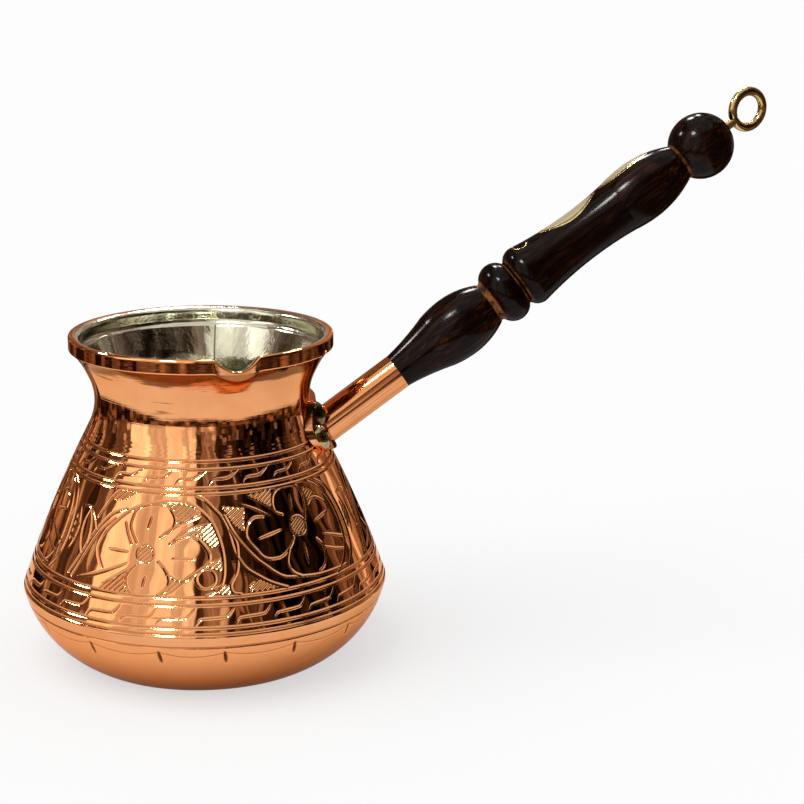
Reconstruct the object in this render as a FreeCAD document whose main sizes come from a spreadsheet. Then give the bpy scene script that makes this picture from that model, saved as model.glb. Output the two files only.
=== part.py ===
import FreeCAD, Part
import math
import os

import Sketcher

# A long-handled copper coffee pot: an engraved body with a hemmed rim and a pouring lip,
# a riveted bracket with a socket tube, a turned wooden handle with inlays and a screw eye.
# Frame: origin at the centre of the base, Z up, the handle rises towards +X. Millimetres, degrees.

DIMENSIONS = {
    # copper body, measured from the base centre
    "pot_height": 93.6, "wall": 1.2, "tin": 0.3,
    "bowl_curve": 32.0, "bowl_centre_height": 28.4,
    "belly_radius": 52.2, "belly_height": 21.2, "belly_round": 2.0,
    "body_curve": 360.0,
    "neck_radius": 30.4, "neck_height": 75.2, "neck_curve": 16.2, "flare_angle": 25.0,
    # hemmed rim
    "collar_radius": 37.2, "mouth_radius": 34.4, "mouth_floor": 88.4, "collar_foot": 86.2, "collar_bottom": 90.3,
    "hem_bead": 0.6,
    # turned grooves that frame the engraved bands
    "groove_width": 0.7, "engraving": 0.35,
    "groove_one": 65.0, "groove_two": 63.0, "groove_three": 58.5, "groove_four": 57.0,
    "groove_five": 31.5, "groove_six": 29.6, "groove_seven": 24.0, "groove_eight": 22.3, "groove_nine": 18.4,
    # pouring lip
    "spout_azimuth": -82.5, "spout_slope": 8.0, "spout_curve": 6.2, "spout_depth": 3.4,
    "spout_wall": 1.5, "spout_reach": 38.8,
    # bracket plate on the neck and its rivets
    "plate_thickness": 1.6, "plate_width": 39.0, "plate_top_width": 28.0, "plate_corner": 4.0,
    "plate_foot": 61.4, "plate_foot_curve": 62.0, "plate_top": 74.4,
    "rivet_shank": 1.5, "rivet_head": 3.7, "rivet_rise": 2.2, "rivet_clearance": 0.05,
    "upper_rivet_azimuth": 15.5, "upper_rivet_height": 69.8, "upper_rivet_radius": 31.33, "upper_rivet_tilt": 19.5,
    "lower_rivet_azimuth": 27.0, "lower_rivet_height": 64.65, "lower_rivet_radius": 33.8, "lower_rivet_tilt": 26.8,
    "clinch_head": 2.3, "clinch_rise": 0.9,
    # handle axis, which starts inside the pot on its centre line
    "handle_rise": 35.0, "handle_base": 39.5,
    "tube_radius": 5.3, "tube_bore": 4.3,
    # turned handle: distances along the axis and radii
    "tenon_at": 48.0, "tenon_radius": 4.25,
    "shoulder_at": 69.3, "shoulder_radius": 5.25,
    "flare_at": 83.8, "flare_radius": 8.5, "flare_curve": 80.0,
    "bulb_at": 91.0, "bulb_radius": 9.35, "bulb_front_curve": 31.0,
    "bulb_end_at": 102.2, "bulb_end_radius": 6.6, "bulb_rear_curve": 24.2,
    "first_groove_at": 102.9, "first_groove_radius": 6.1,
    "bead_at": 103.6, "bead_radius": 6.7,
    "bead_end_at": 112.0, "bead_end_radius": 7.3, "bead_curve": 4.95,
    "second_groove_at": 112.4, "second_groove_radius": 6.9,
    "grip_at": 112.9, "grip_radius": 7.5,
    "grip_top_at": 116.6, "grip_top_radius": 9.3, "grip_curve": 4.2,
    "waist_end_at": 150.0, "waist_end_radius": 8.4, "waist_curve": 115.0,
    "swell_at": 157.3, "swell_radius": 9.1, "swell_front_curve": 38.4,
    "swell_end_at": 171.6, "swell_end_radius": 5.7, "swell_rear_curve": 31.8,
    "third_groove_at": 171.9, "third_groove_radius": 5.3,
    "ball_at": 172.2, "ball_start_radius": 5.93, "ball_radius": 9.64, "handle_end": 189.44,
    # inlays let into the top of the grip
    "inlay_depth": 0.8, "inlay_reach": 12.0, "wire_inset": 0.5, "wire_gap": 0.3, "wire_width": 0.6,
    "front_bone_at": 127.2, "front_bone_end": 145.0, "front_bone_half": 3.1,
    "rear_bone_at": 148.7, "rear_bone_end": 164.2, "rear_bone_half": 1.9,
    "scroll_at": 119.3, "scroll_side": 0.8, "scroll_curve": 2.3, "scroll_width": 0.5,
    "scroll_start": 10.0, "scroll_sweep": 180.0,
    # screw eye
    "eye_at": 192.3, "eye_ring": 5.3, "eye_wire": 1.3, "eye_sweep": 347.0, "eye_turn": 12.0, "eye_bend": 9.0,
    "eye_tip_at": 178.0, "eye_tip_length": 2.5, "eye_clearance": 0.05,
}

doc = FreeCAD.newDocument("coffee_pot")
sheet = doc.addObject("Spreadsheet::Sheet", "dims")
for row, (alias, number) in enumerate(DIMENSIONS.items(), start=1):
    sheet.set(f"A{row}", alias)
    sheet.set(f"B{row}", str(number))
    sheet.setAlias(f"B{row}", alias)
doc.recompute()

X_AXIS = FreeCAD.Vector(1, 0, 0)
Y_AXIS = FreeCAD.Vector(0, 1, 0)
Z_AXIS = FreeCAD.Vector(0, 0, 1)
ABOVE_RIM = 5.0
CUTTER_RADIUS = 60.0
ORIGIN_POINT = (-1, 1)
HORIZONTAL_AXIS = -1
VERTICAL_AXIS = -2


def size(alias):
    return float(sheet.get(alias))


def rule(alias):
    return "dims." + alias


def set_on_handle(piece, distance_rule, axis, angle_rule):
    """Stands a piece on the handle's axis, that far from the pot's centre line, turned about an axis."""
    piece.Placement = FreeCAD.Placement(FreeCAD.Vector(), FreeCAD.Rotation(axis, 1))
    piece.setExpression("Placement.Base.x", f"({distance_rule}) * cos(dims.handle_rise * 1 deg)")
    piece.setExpression("Placement.Base.z", f"dims.handle_base + ({distance_rule}) * sin(dims.handle_rise * 1 deg)")
    piece.setExpression("Placement.Rotation.Angle", f"({angle_rule}) * 1 deg")
    return piece


class Outline:
    """A body with one closed sketch, drawn edge by edge, whose sizes follow the sheet."""

    def __init__(self, name, plane="XZ_Plane", along_handle=False):
        self.body = doc.addObject("PartDesign::Body", name)
        if along_handle:
            set_on_handle(self.body, "0", Y_AXIS, "-dims.handle_rise")
        self.sketch = self.body.newObject("Sketcher::SketchObject", name + "_outline")
        support = next(f for f in self.body.Origin.OriginFeatures if f.Role == plane)
        self.sketch.AttachmentSupport = [(support, "")]
        self.sketch.MapMode = "FlatFace"

    def line(self, start, end):
        return self.sketch.addGeometry(Part.LineSegment(FreeCAD.Vector(*start), FreeCAD.Vector(*end)))

    def arc(self, centre, start, end):
        """An arc that runs anticlockwise from start to end."""
        middle = FreeCAD.Vector(*centre)
        first = FreeCAD.Vector(*start) - middle
        last = FreeCAD.Vector(*end) - middle
        circle = Part.Circle(middle, Z_AXIS, first.Length)
        from_angle = math.atan2(first.y, first.x)
        to_angle = math.atan2(last.y, last.x)
        return self.sketch.addGeometry(Part.ArcOfCircle(circle, from_angle, to_angle))

    def hold(self, kind, *where):
        return self.sketch.addConstraint(Sketcher.Constraint(kind, *where))

    def measure(self, kind, where, number, formula):
        index = self.hold(kind, *where, number)
        self.sketch.setExpression(f"Constraints[{index}]", formula)

    def place(self, edge, end, across=None, up=None):
        point = self.sketch.getPoint(edge, end)
        if across is not None:
            self.measure("DistanceX", (*ORIGIN_POINT, edge, end), point.x, across)
        if up is not None:
            self.measure("DistanceY", (*ORIGIN_POINT, edge, end), point.y, up)

    def radius(self, edge, formula):
        self.measure("Radius", (edge,), self.sketch.Geometry[edge].Radius, formula)

    def revolve(self, axis):
        turned = self.body.newObject("PartDesign::Revolution", self.body.Name + "_turned")
        turned.Profile = self.sketch
        turned.ReferenceAxis = (self.sketch, [axis])
        turned.Angle = 360
        return self.body

    def pad(self, formula):
        pad = self.body.newObject("PartDesign::Pad", self.body.Name + "_pad")
        pad.Profile = self.sketch
        pad.setExpression("Length", formula)
        return self.body


def combine(kind, name, base, tool):
    """A Part::Cut or Part::Common of two objects."""
    result = doc.addObject(kind, name)
    result.Base = base
    result.Tool = tool
    return result


def join(name, pieces):
    result = doc.addObject("Part::MultiFuse", name)
    result.Shapes = pieces
    return result


# Copper body

def tangent_points(offset):
    """Centres and meeting points of the four arcs of the pot's side, offset inwards."""
    belly = FreeCAD.Vector(size("belly_radius") - size("belly_round"), size("belly_height"), 0)
    neck = FreeCAD.Vector(size("neck_radius") + size("neck_curve"), size("neck_height"), 0)
    drop = size("bowl_centre_height") - belly.y
    run = math.sqrt((size("bowl_curve") - size("belly_round")) ** 2 - drop ** 2)
    bowl = FreeCAD.Vector(belly.x - run, size("bowl_centre_height"), 0)
    to_belly = size("body_curve") - size("belly_round")
    to_neck = size("body_curve") + size("neck_curve")
    between = neck - belly
    along = (to_belly ** 2 - to_neck ** 2 + between.Length ** 2) / (2 * between.Length)
    aside = math.sqrt(to_belly ** 2 - along ** 2)
    unit = between.normalize()
    body = belly + unit * along + FreeCAD.Vector(-unit.y, unit.x, 0) * aside

    def towards(start, end, distance):
        return start + (end - start).normalize() * distance

    flare = math.radians(180 - size("flare_angle"))
    neck_radius = size("neck_curve") + offset
    foot = math.sqrt((size("bowl_curve") - offset) ** 2 - (bowl.y - offset) ** 2)
    return {
        "bowl": bowl, "belly": belly, "body": body, "neck": neck,
        "foot": FreeCAD.Vector(bowl.x + foot, offset, 0),
        "bowl_end": towards(bowl, belly, size("bowl_curve") - offset),
        "belly_end": towards(body, belly, size("body_curve") - offset),
        "body_end": towards(body, neck, size("body_curve") - offset),
        "neck_end": neck + FreeCAD.Vector(math.cos(flare), math.sin(flare), 0) * neck_radius,
    }


def pot_side(name, offset, offset_rule, top, top_rule):
    """Sketch of the pot's side from the base centre up to the top of its flare, offset inwards."""
    at = tangent_points(offset)
    out = Outline(name)
    rise = top - at["neck_end"].y
    flare_top = (at["neck_end"].x + rise * math.tan(math.radians(size("flare_angle"))), top)
    base = out.line((0, offset), at["foot"])
    bowl = out.arc(at["bowl"], at["foot"], at["bowl_end"])
    belly = out.arc(at["belly"], at["bowl_end"], at["belly_end"])
    body = out.arc(at["body"], at["belly_end"], at["body_end"])
    neck = out.arc(at["neck"], at["neck_end"], at["body_end"])
    flare = out.line(at["neck_end"], flare_top)
    out.hold("Horizontal", base)
    out.hold("PointOnObject", base, 1, VERTICAL_AXIS)
    if offset == 0:
        out.hold("PointOnObject", base, 2, HORIZONTAL_AXIS)
    else:
        out.place(base, 2, up=offset_rule)
    out.hold("Coincident", base, 2, bowl, 1)
    out.place(bowl, 3, up=rule("bowl_centre_height"))
    out.radius(bowl, f"dims.bowl_curve - ({offset_rule})")
    out.hold("Tangent", bowl, 2, belly, 1)
    out.place(belly, 3, across="dims.belly_radius - dims.belly_round", up=rule("belly_height"))
    out.radius(belly, f"dims.belly_round - ({offset_rule})")
    out.hold("Tangent", belly, 2, body, 1)
    out.radius(body, f"dims.body_curve - ({offset_rule})")
    out.hold("Tangent", body, 2, neck, 2)
    out.place(neck, 3, across="dims.neck_radius + dims.neck_curve", up=rule("neck_height"))
    out.radius(neck, f"dims.neck_curve + ({offset_rule})")
    out.hold("Tangent", neck, 1, flare, 1)
    upright = math.radians(90 - size("flare_angle"))
    out.measure("Angle", (flare,), upright, "(90 - dims.flare_angle) * 1 deg")
    out.place(flare, 2, up=top_rule)
    return out, base, flare


def close_along_axis(out, base, last):
    """Closes a pot outline from the end of its last edge across to the centre line and down it."""
    end = out.sketch.getPoint(last, 2)
    foot = out.sketch.getPoint(base, 1)
    top = out.line((end.x, end.y), (0, end.y))
    axis = out.line((0, end.y), (0, foot.y))
    out.hold("Coincident", last, 2, top, 1)
    out.hold("Horizontal", top)
    out.hold("Coincident", top, 2, axis, 1)
    out.hold("PointOnObject", top, 2, VERTICAL_AXIS)
    out.hold("Coincident", axis, 2, base, 1)
    return out.revolve("V_Axis")


def solid_side(name, offset, offset_rule):
    """The pot's side turned into a full solid that stops at the collar's foot."""
    out, base, flare = pot_side(name, offset, offset_rule, size("collar_foot"), rule("collar_foot"))
    return close_along_axis(out, base, flare)


def hollow_side(name, lining=0.0, lining_rule="0"):
    """The room inside the pot: its side, a small ledge, then the straight mouth up past the rim."""
    floor = size("mouth_floor") + lining
    offset_rule = f"dims.wall + {lining_rule}"
    out, base, flare = pot_side(name, size("wall") + lining, offset_rule, floor, f"dims.mouth_floor + {lining_rule}")
    corner = out.sketch.getPoint(flare, 2)
    mouth = size("mouth_radius") - lining
    top = size("pot_height") + ABOVE_RIM
    ledge = out.line((corner.x, corner.y), (mouth, corner.y))
    wall = out.line((mouth, corner.y), (mouth, top))
    out.hold("Coincident", flare, 2, ledge, 1)
    out.hold("Horizontal", ledge)
    out.hold("Coincident", ledge, 2, wall, 1)
    out.hold("Vertical", wall)
    out.place(wall, 2, across=f"dims.mouth_radius - {lining_rule}", up=f"dims.pot_height + {ABOVE_RIM}")
    return close_along_axis(out, base, wall)


def copper_blank():
    """The outside of the body with its hemmed collar, still solid."""
    out, base, flare = pot_side("copper_blank", 0, "0", size("collar_foot"), rule("collar_foot"))
    corner = out.sketch.getPoint(flare, 2)
    collar = size("collar_radius")
    hem = (collar - size("mouth_radius")) / 2
    bottom = size("collar_bottom")
    bead = size("hem_bead")
    lip_height = size("pot_height") - hem
    under = out.line((corner.x, corner.y), (collar - bead, bottom - bead))
    edge = out.arc((collar - bead, bottom), (collar - bead, bottom - bead), (collar, bottom))
    band = out.line((collar, bottom), (collar, lip_height))
    lip = out.arc((collar - hem, lip_height), (collar, lip_height), (collar - 2 * hem, lip_height))
    out.hold("Coincident", flare, 2, under, 1)
    out.hold("Coincident", under, 2, edge, 1)
    out.place(edge, 3, across="dims.collar_radius - dims.hem_bead", up=rule("collar_bottom"))
    out.place(edge, 1, across="dims.collar_radius - dims.hem_bead")
    out.radius(edge, rule("hem_bead"))
    out.hold("Tangent", edge, 2, band, 1)
    out.hold("Vertical", band)
    out.hold("Tangent", band, 2, lip, 1)
    out.place(lip, 3, up="dims.pot_height - (dims.collar_radius - dims.mouth_radius) / 2")
    out.radius(lip, "(dims.collar_radius - dims.mouth_radius) / 2")
    out.hold("Horizontal", lip, 3, lip, 2)
    return close_along_axis(out, base, lip)


def cylinder(name, radius_rule, height_rule, placement):
    piece = doc.addObject("Part::Cylinder", name)
    piece.setExpression("Radius", radius_rule)
    piece.setExpression("Height", height_rule)
    piece.Placement = placement
    return piece


def ring_grooves(floor):
    """Nine narrow turned grooves, cut down to the engraving's floor."""
    slabs = []
    for count in ("one", "two", "three", "four", "five", "six", "seven", "eight", "nine"):
        slab = cylinder("slab_" + count, str(CUTTER_RADIUS), rule("groove_width"), FreeCAD.Placement())
        slab.setExpression("Placement.Base.z", f"dims.groove_{count} - dims.groove_width / 2")
        slabs.append(slab)
    return combine("Part::Cut", "ring_grooves", join("groove_slabs", slabs), floor)


def spout_cylinder(name, radius_rule):
    """A level-backed cylinder that lies along the pouring direction and dips outwards."""
    azimuth = FreeCAD.Rotation(Z_AXIS, size("spout_azimuth"))
    dip = FreeCAD.Rotation(Y_AXIS, 90 + size("spout_slope"))
    height = size("pot_height") - size("spout_depth") + size("spout_curve")
    start = azimuth.multVec(FreeCAD.Vector(size("mouth_radius"), 0, height))
    turned = azimuth.multiply(dip)
    behind = turned.multVec(Z_AXIS) * (size("mouth_radius") / 2)
    return cylinder(name, radius_rule, rule("mouth_radius"), FreeCAD.Placement(start - behind, turned))


def rivet_frame(turn, height, radius, tilt, side):
    """Placement on the neck's outside with local Z along the outward normal."""
    azimuth = FreeCAD.Rotation(Z_AXIS, side * size(turn))
    outward = FreeCAD.Rotation(Y_AXIS, 90 - size(tilt))
    point = azimuth.multVec(FreeCAD.Vector(size(radius), 0, size(height)))
    return FreeCAD.Placement(point, azimuth.multiply(outward))


def along(placement, distance):
    """The same placement moved out along its own Z."""
    return placement.multiply(FreeCAD.Placement(FreeCAD.Vector(0, 0, distance), FreeCAD.Rotation()))


blank = copper_blank()
cavity = hollow_side("cavity")
lined_cavity = hollow_side("lined_cavity", size("tin"), rule("tin"))
engraving_floor = solid_side("engraving_floor", size("engraving"), "dims.engraving")
plate_skin = solid_side("plate_skin", -size("plate_thickness"), "-dims.plate_thickness")

RIVETS = {}
for level in ("upper", "lower"):
    for side_name, side in (("near", -1), ("far", 1)):
        keys = [f"{level}_rivet_{word}" for word in ("azimuth", "height", "radius", "tilt")]
        RIVETS[f"rivet_{level}_{side_name}"] = rivet_frame(*keys, side)

through = size("wall") + size("tin") + size("clinch_rise") / 2
through_rule = "(dims.wall + dims.tin + dims.clinch_rise / 2)"
holes = []
for name, frame in RIVETS.items():
    reach = f"dims.plate_thickness + dims.rivet_rise + 2 * {through_rule}"
    hole_rule = "dims.rivet_shank + dims.rivet_clearance"
    holes.append(cylinder(name + "_hole", hole_rule, reach, along(frame, -2 * through)))
rivet_holes = join("rivet_holes", holes)

lip_outside = spout_cylinder("lip_outside", "dims.spout_curve + dims.spout_wall")
lip_ring = cylinder("lip_ring", rule("spout_reach"), "dims.pot_height - dims.collar_foot", FreeCAD.Placement())
lip_ring.setExpression("Placement.Base.z", rule("collar_foot"))
lip = combine("Part::Common", "lip", lip_outside, lip_ring)
notch = spout_cylinder("notch", rule("spout_curve"))

with_lip = join("blank_with_lip", [blank, lip])
hollowed = combine("Part::Cut", "hollowed_body", with_lip, cavity)
notched = combine("Part::Cut", "notched_body", hollowed, notch)
grooved = combine("Part::Cut", "grooved_body", notched, ring_grooves(engraving_floor))
pot_body = combine("Part::Cut", "pot_body", grooved, rivet_holes)

# Tin lining, which stops where the hem starts to round over

lining_limit = cylinder("lining_limit", str(CUTTER_RADIUS), rule("pot_height"), FreeCAD.Placement())
lining_limit.setExpression("Placement.Base.z", "-(dims.collar_radius - dims.mouth_radius) / 2")
lining_shell = combine("Part::Cut", "lining_shell", cavity, lined_cavity)
lining_trimmed = combine("Part::Common", "lining_trimmed", lining_shell, lining_limit)
lining_notched = combine("Part::Cut", "lining_notched", lining_trimmed, notch)
tin_lining = combine("Part::Cut", "tin_lining", lining_notched, rivet_holes)

# Bracket plate, bent to the neck


def plate_outline():
    """The plate as seen from the handle: narrower at the top, rounded corners, a foot that bows down."""
    out = Outline("plate_prism", "YZ_Plane")
    corner = size("plate_corner")
    wide = size("plate_width") / 2 - corner
    narrow = size("plate_top_width") / 2 - corner
    low = size("plate_foot") + corner
    high = size("plate_top") - corner
    foot_reach = size("plate_foot_curve") - corner
    foot_turn = math.asin(wide / foot_reach) - math.pi / 2
    slant = math.atan2(wide - narrow, high - low)
    turns = [foot_turn, slant, math.pi / 2, math.pi - slant, math.pi - foot_turn]
    middles = [(wide, low), (narrow, high), (-narrow, high), (-wide, low)]
    wide_rule = "(dims.plate_width / 2 - dims.plate_corner)"
    narrow_rule = "(dims.plate_top_width / 2 - dims.plate_corner)"
    across_rules = [wide_rule, narrow_rule, "-" + narrow_rule, "-" + wide_rule]
    low_rule = "dims.plate_foot + dims.plate_corner"
    high_rule = "dims.plate_top - dims.plate_corner"
    up_rules = [low_rule, high_rule, high_rule, low_rule]
    corners = []
    for middle, *ends in zip(middles, turns, turns[1:]):
        rims = [(middle[0] + corner * math.cos(turn), middle[1] + corner * math.sin(turn)) for turn in ends]
        corners.append(out.arc(middle, *rims))
    for edge, across, up in zip(corners, across_rules, up_rules):
        out.radius(edge, rule("plate_corner"))
        out.place(edge, 3, across=across, up=up)
    for first, second in zip(corners, corners[1:] + corners[:1]):
        start = out.sketch.getPoint(first, 2)
        end = out.sketch.getPoint(second, 1)
        if second == corners[0]:
            foot_middle = (0, low - foot_reach * math.sin(foot_turn))
            side = out.arc(foot_middle, (start.x, start.y), (end.x, end.y))
            out.radius(side, rule("plate_foot_curve"))
        else:
            side = out.line((start.x, start.y), (end.x, end.y))
        out.hold("Tangent", first, 2, side, 1)
        out.hold("Tangent", side, 2, second, 1)
    return out.pad("dims.belly_radius")


plate_shell = combine("Part::Cut", "plate_shell", plate_skin, blank)
plate_whole = combine("Part::Common", "plate_whole", plate_shell, plate_outline())
bracket_plate = combine("Part::Cut", "bracket_plate", plate_whole, rivet_holes)

# Rivets: a domed head outside, a shank through plate, wall and lining, a small clinched head inside


def dome(name, placement, head, rise, base):
    """A ball whose cap beyond the base surface has the head's radius and rise."""
    ball = doc.addObject("Part::Sphere", name)
    ball.setExpression("Radius", f"(dims.{head} ^ 2 + dims.{rise} ^ 2) / (2 * dims.{rise})")
    reach = (size(head) ** 2 + size(rise) ** 2) / (2 * size(rise))
    ball.Placement = along(placement, base - math.copysign(reach - size(rise), base))
    return ball


def rivet(name, frame):
    inside = -(size("wall") + size("tin"))
    outer = dome(name + "_dome", frame, "rivet_head", "rivet_rise", size("plate_thickness"))
    inner = dome(name + "_clinch", frame, "clinch_head", "clinch_rise", inside)
    head = combine("Part::Cut", name + "_head", outer, plate_skin)
    clinch = combine("Part::Common", name + "_inner_head", inner, lined_cavity)
    shank_rule = f"dims.plate_thickness + dims.rivet_rise / 2 + {through_rule}"
    shank = cylinder(name + "_shank", rule("rivet_shank"), shank_rule, along(frame, -through))
    return join(name, [head, shank, clinch])


rivets = [rivet(name, frame) for name, frame in RIVETS.items()]

# Handle axis: it rises from the pot's centre line towards +X, and its top faces up and back


def axis_cylinder(name, radius_rule, length_rule, from_rule):
    """A cylinder along the handle's axis."""
    piece = cylinder(name, radius_rule, length_rule, FreeCAD.Placement())
    return set_on_handle(piece, from_rule, Y_AXIS, "90 - dims.handle_rise")


# Socket tube, whose root is shaped to the bracket plate

tube_length = "dims.shoulder_at - dims.neck_radius"
tube_outside = axis_cylinder("tube_outside", rule("tube_radius"), tube_length, rule("neck_radius"))
tube_inside = axis_cylinder("tube_inside", rule("tube_bore"), tube_length, rule("neck_radius"))
ferrule = combine("Part::Cut", "ferrule", combine("Part::Cut", "tube", tube_outside, tube_inside), plate_skin)

# Turned wooden handle


def turned(name, stations, inset=None):
    """A piece turned about local X: stations are edge kind, distance, radius and curve."""
    out = Outline(name, along_handle=True)
    depth = size(inset) if inset else 0.0
    depth_rule = rule(inset) if inset else "0"
    points = [(size(at), size(radius) - depth if radius else 0.0) for kind, at, radius, curve in stations]
    edges = []
    for (start, end), (kind, at, radius, curve) in zip(zip(points, points[1:]), stations[1:]):
        if kind == "line":
            edges.append((out.line(start, end), 1, 2))
            continue
        outward = 1 if kind == "hollow" else -1
        bend = size(curve) + outward * depth
        chord = FreeCAD.Vector(*end) - FreeCAD.Vector(*start)
        rise = math.sqrt(bend ** 2 - chord.Length ** 2 / 4)
        across = FreeCAD.Vector(-chord.y, chord.x, 0).normalize()
        middle = FreeCAD.Vector(*start) + chord * 0.5 + across * (outward * rise)
        if kind == "hollow":
            edges.append((out.arc(middle, start, end), 1, 2))
        else:
            edges.append((out.arc(middle, end, start), 2, 1))
        out.radius(edges[-1][0], f"dims.{curve} + {outward} * {depth_rule}")
    edges.append((out.line(points[-1], points[0]), 1, 2))
    for (edge, first, last), (following, begin, finish) in zip(edges, edges[1:] + edges[:1]):
        out.hold("Coincident", edge, last, following, begin)
    for (edge, first, last), (kind, at, radius, curve) in zip(edges[-1:] + edges[:-1], stations):
        out.place(edge, last, across=rule(at), up=f"dims.{radius} - {depth_rule}" if radius else None)
        if not radius:
            out.hold("PointOnObject", edge, last, HORIZONTAL_AXIS)
    return out.revolve("H_Axis")


GRIP = [
    ("hollow", "waist_end_at", "waist_end_radius", "waist_curve"),
    ("hump", "swell_at", "swell_radius", "swell_front_curve"),
    ("hump", "swell_end_at", "swell_end_radius", "swell_rear_curve"),
]
wood_blank = turned("wood_blank", [
    ("start", "tenon_at", None, None),
    ("line", "tenon_at", "tenon_radius", None),
    ("line", "shoulder_at", "tenon_radius", None),
    ("line", "shoulder_at", "shoulder_radius", None),
    ("hollow", "flare_at", "flare_radius", "flare_curve"),
    ("hump", "bulb_at", "bulb_radius", "bulb_front_curve"),
    ("hump", "bulb_end_at", "bulb_end_radius", "bulb_rear_curve"),
    ("line", "first_groove_at", "first_groove_radius", None),
    ("line", "bead_at", "bead_radius", None),
    ("hump", "bead_end_at", "bead_end_radius", "bead_curve"),
    ("line", "second_groove_at", "second_groove_radius", None),
    ("line", "grip_at", "grip_radius", None),
    ("hump", "grip_top_at", "grip_top_radius", "grip_curve"),
    *GRIP,
    ("line", "third_groove_at", "third_groove_radius", None),
    ("line", "ball_at", "ball_start_radius", None),
    ("hump", "handle_end", None, "ball_radius"),
])
inlay_floor = turned("inlay_floor", [
    ("start", "grip_top_at", None, None),
    ("line", "grip_top_at", "grip_top_radius", None),
    *GRIP,
    ("line", "swell_end_at", None, None),
], inset="inlay_depth")
inlay_layer = combine("Part::Cut", "inlay_layer", wood_blank, inlay_floor)

# Inlays: leaf shapes of bone, each inside a brass wire of the same shape, and two scrolls


def leaf(out, start, end, half, start_rule, end_rule, half_rule):
    """Two arcs that meet in points on the handle's top line."""
    length = end - start
    bend = (length ** 2 / 4 + half ** 2) / (2 * half)
    middle = (start + end) / 2
    upper = out.arc((middle, half - bend), (end, 0), (start, 0))
    lower = out.arc((middle, bend - half), (start, 0), (end, 0))
    bend_rule = f"((({end_rule}) - ({start_rule})) ^ 2 / 4 + ({half_rule}) ^ 2) / (2 * ({half_rule}))"
    out.hold("Coincident", upper, 1, lower, 2)
    out.hold("Coincident", upper, 2, lower, 1)
    out.hold("PointOnObject", upper, 1, HORIZONTAL_AXIS)
    out.hold("PointOnObject", upper, 2, HORIZONTAL_AXIS)
    out.place(upper, 1, across=end_rule)
    out.place(upper, 2, across=start_rule)
    out.radius(upper, bend_rule)
    out.radius(lower, bend_rule)


def grown_leaf(out, bone, tip, side, tip_rule, side_rule):
    """The bone leaf's outline, grown at its tips and its sides."""
    leaf(out, size(bone + "_at") - tip, size(bone + "_end") + tip, size(bone + "_half") + side,
         f"dims.{bone}_at - ({tip_rule})", f"dims.{bone}_end + ({tip_rule})", f"dims.{bone}_half + ({side_rule})")


def let_in(name, outline):
    """A plan outline raised through the grip's outer layer."""
    return combine("Part::Common", name, outline.pad(rule("inlay_reach")), inlay_layer)


def bone_inlay(name, bone):
    outline = Outline(name + "_plan", "XY_Plane", along_handle=True)
    grown_leaf(outline, bone, 0, 0, "0", "0")
    return let_in(name, outline)


def inlay_wire(name, bone):
    outline = Outline(name + "_plan", "XY_Plane", along_handle=True)
    inset = size("wire_inset")
    gap = size("wire_gap")
    grown_leaf(outline, bone, inset, gap, "dims.wire_inset", "dims.wire_gap")
    grown_leaf(outline, bone, 2 * inset + gap, gap + size("wire_width"),
               "2 * dims.wire_inset + dims.wire_gap", "dims.wire_gap + dims.wire_width")
    return let_in(name, outline)


def scroll_wire(name):
    """A hooked strip of wire beside the top line."""
    outline = Outline(name + "_plan", "XY_Plane", along_handle=True)
    middle = (size("scroll_at"), size("scroll_side"))
    from_angle = math.radians(size("scroll_start"))
    to_angle = from_angle + math.radians(size("scroll_sweep"))
    radii = (size("scroll_curve"), size("scroll_curve") - size("scroll_width"))
    rims = [[(middle[0] + r * math.cos(a), middle[1] + r * math.sin(a)) for a in (from_angle, to_angle)]
            for r in radii]
    outer = outline.arc(middle, *rims[0])
    inner = outline.arc(middle, *rims[1])
    ends = [outline.line(rims[0][k], rims[1][k]) for k in (0, 1)]
    outline.hold("Coincident", outer, 3, inner, 3)
    outline.place(outer, 3, across=rule("scroll_at"), up=rule("scroll_side"))
    outline.radius(outer, rule("scroll_curve"))
    outline.radius(inner, "dims.scroll_curve - dims.scroll_width")
    turns = ("dims.scroll_start", "dims.scroll_start + dims.scroll_sweep")
    for end, line, turn in zip((1, 2), ends, turns):
        outline.hold("Coincident", outer, end, line, 1)
        outline.hold("Coincident", inner, end, line, 2)
        outline.hold("PointOnObject", outer, 3, line)
        outline.place(outer, end, up=f"dims.scroll_side + dims.scroll_curve * sin(({turn}) * 1 deg)")
    return let_in(name, outline)


bone_front = bone_inlay("bone_inlay_front", "front_bone")
bone_rear = bone_inlay("bone_inlay_rear", "rear_bone")
wire_front = inlay_wire("inlay_wire_front", "front_bone")
wire_rear = inlay_wire("inlay_wire_rear", "rear_bone")
scroll_far = scroll_wire("scroll_wire_far")
scroll_near = doc.addObject("Part::Mirroring", "scroll_wire_near")
scroll_near.Source = scroll_far
scroll_near.Normal = Y_AXIS
inlays = [bone_front, bone_rear, wire_front, wire_rear, scroll_far, scroll_near]

bore_from = "dims.eye_tip_at - dims.eye_clearance"
bore_radius = "dims.eye_wire + dims.eye_clearance"
eye_bore = axis_cylinder("eye_bore", bore_radius, "dims.eye_at - dims.eye_tip_at", bore_from)
wooden_handle = combine("Part::Cut", "wooden_handle", wood_blank, join("handle_cuts", inlays + [eye_bore]))

# Screw eye: a pointed shank and an open ring of the same wire


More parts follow.
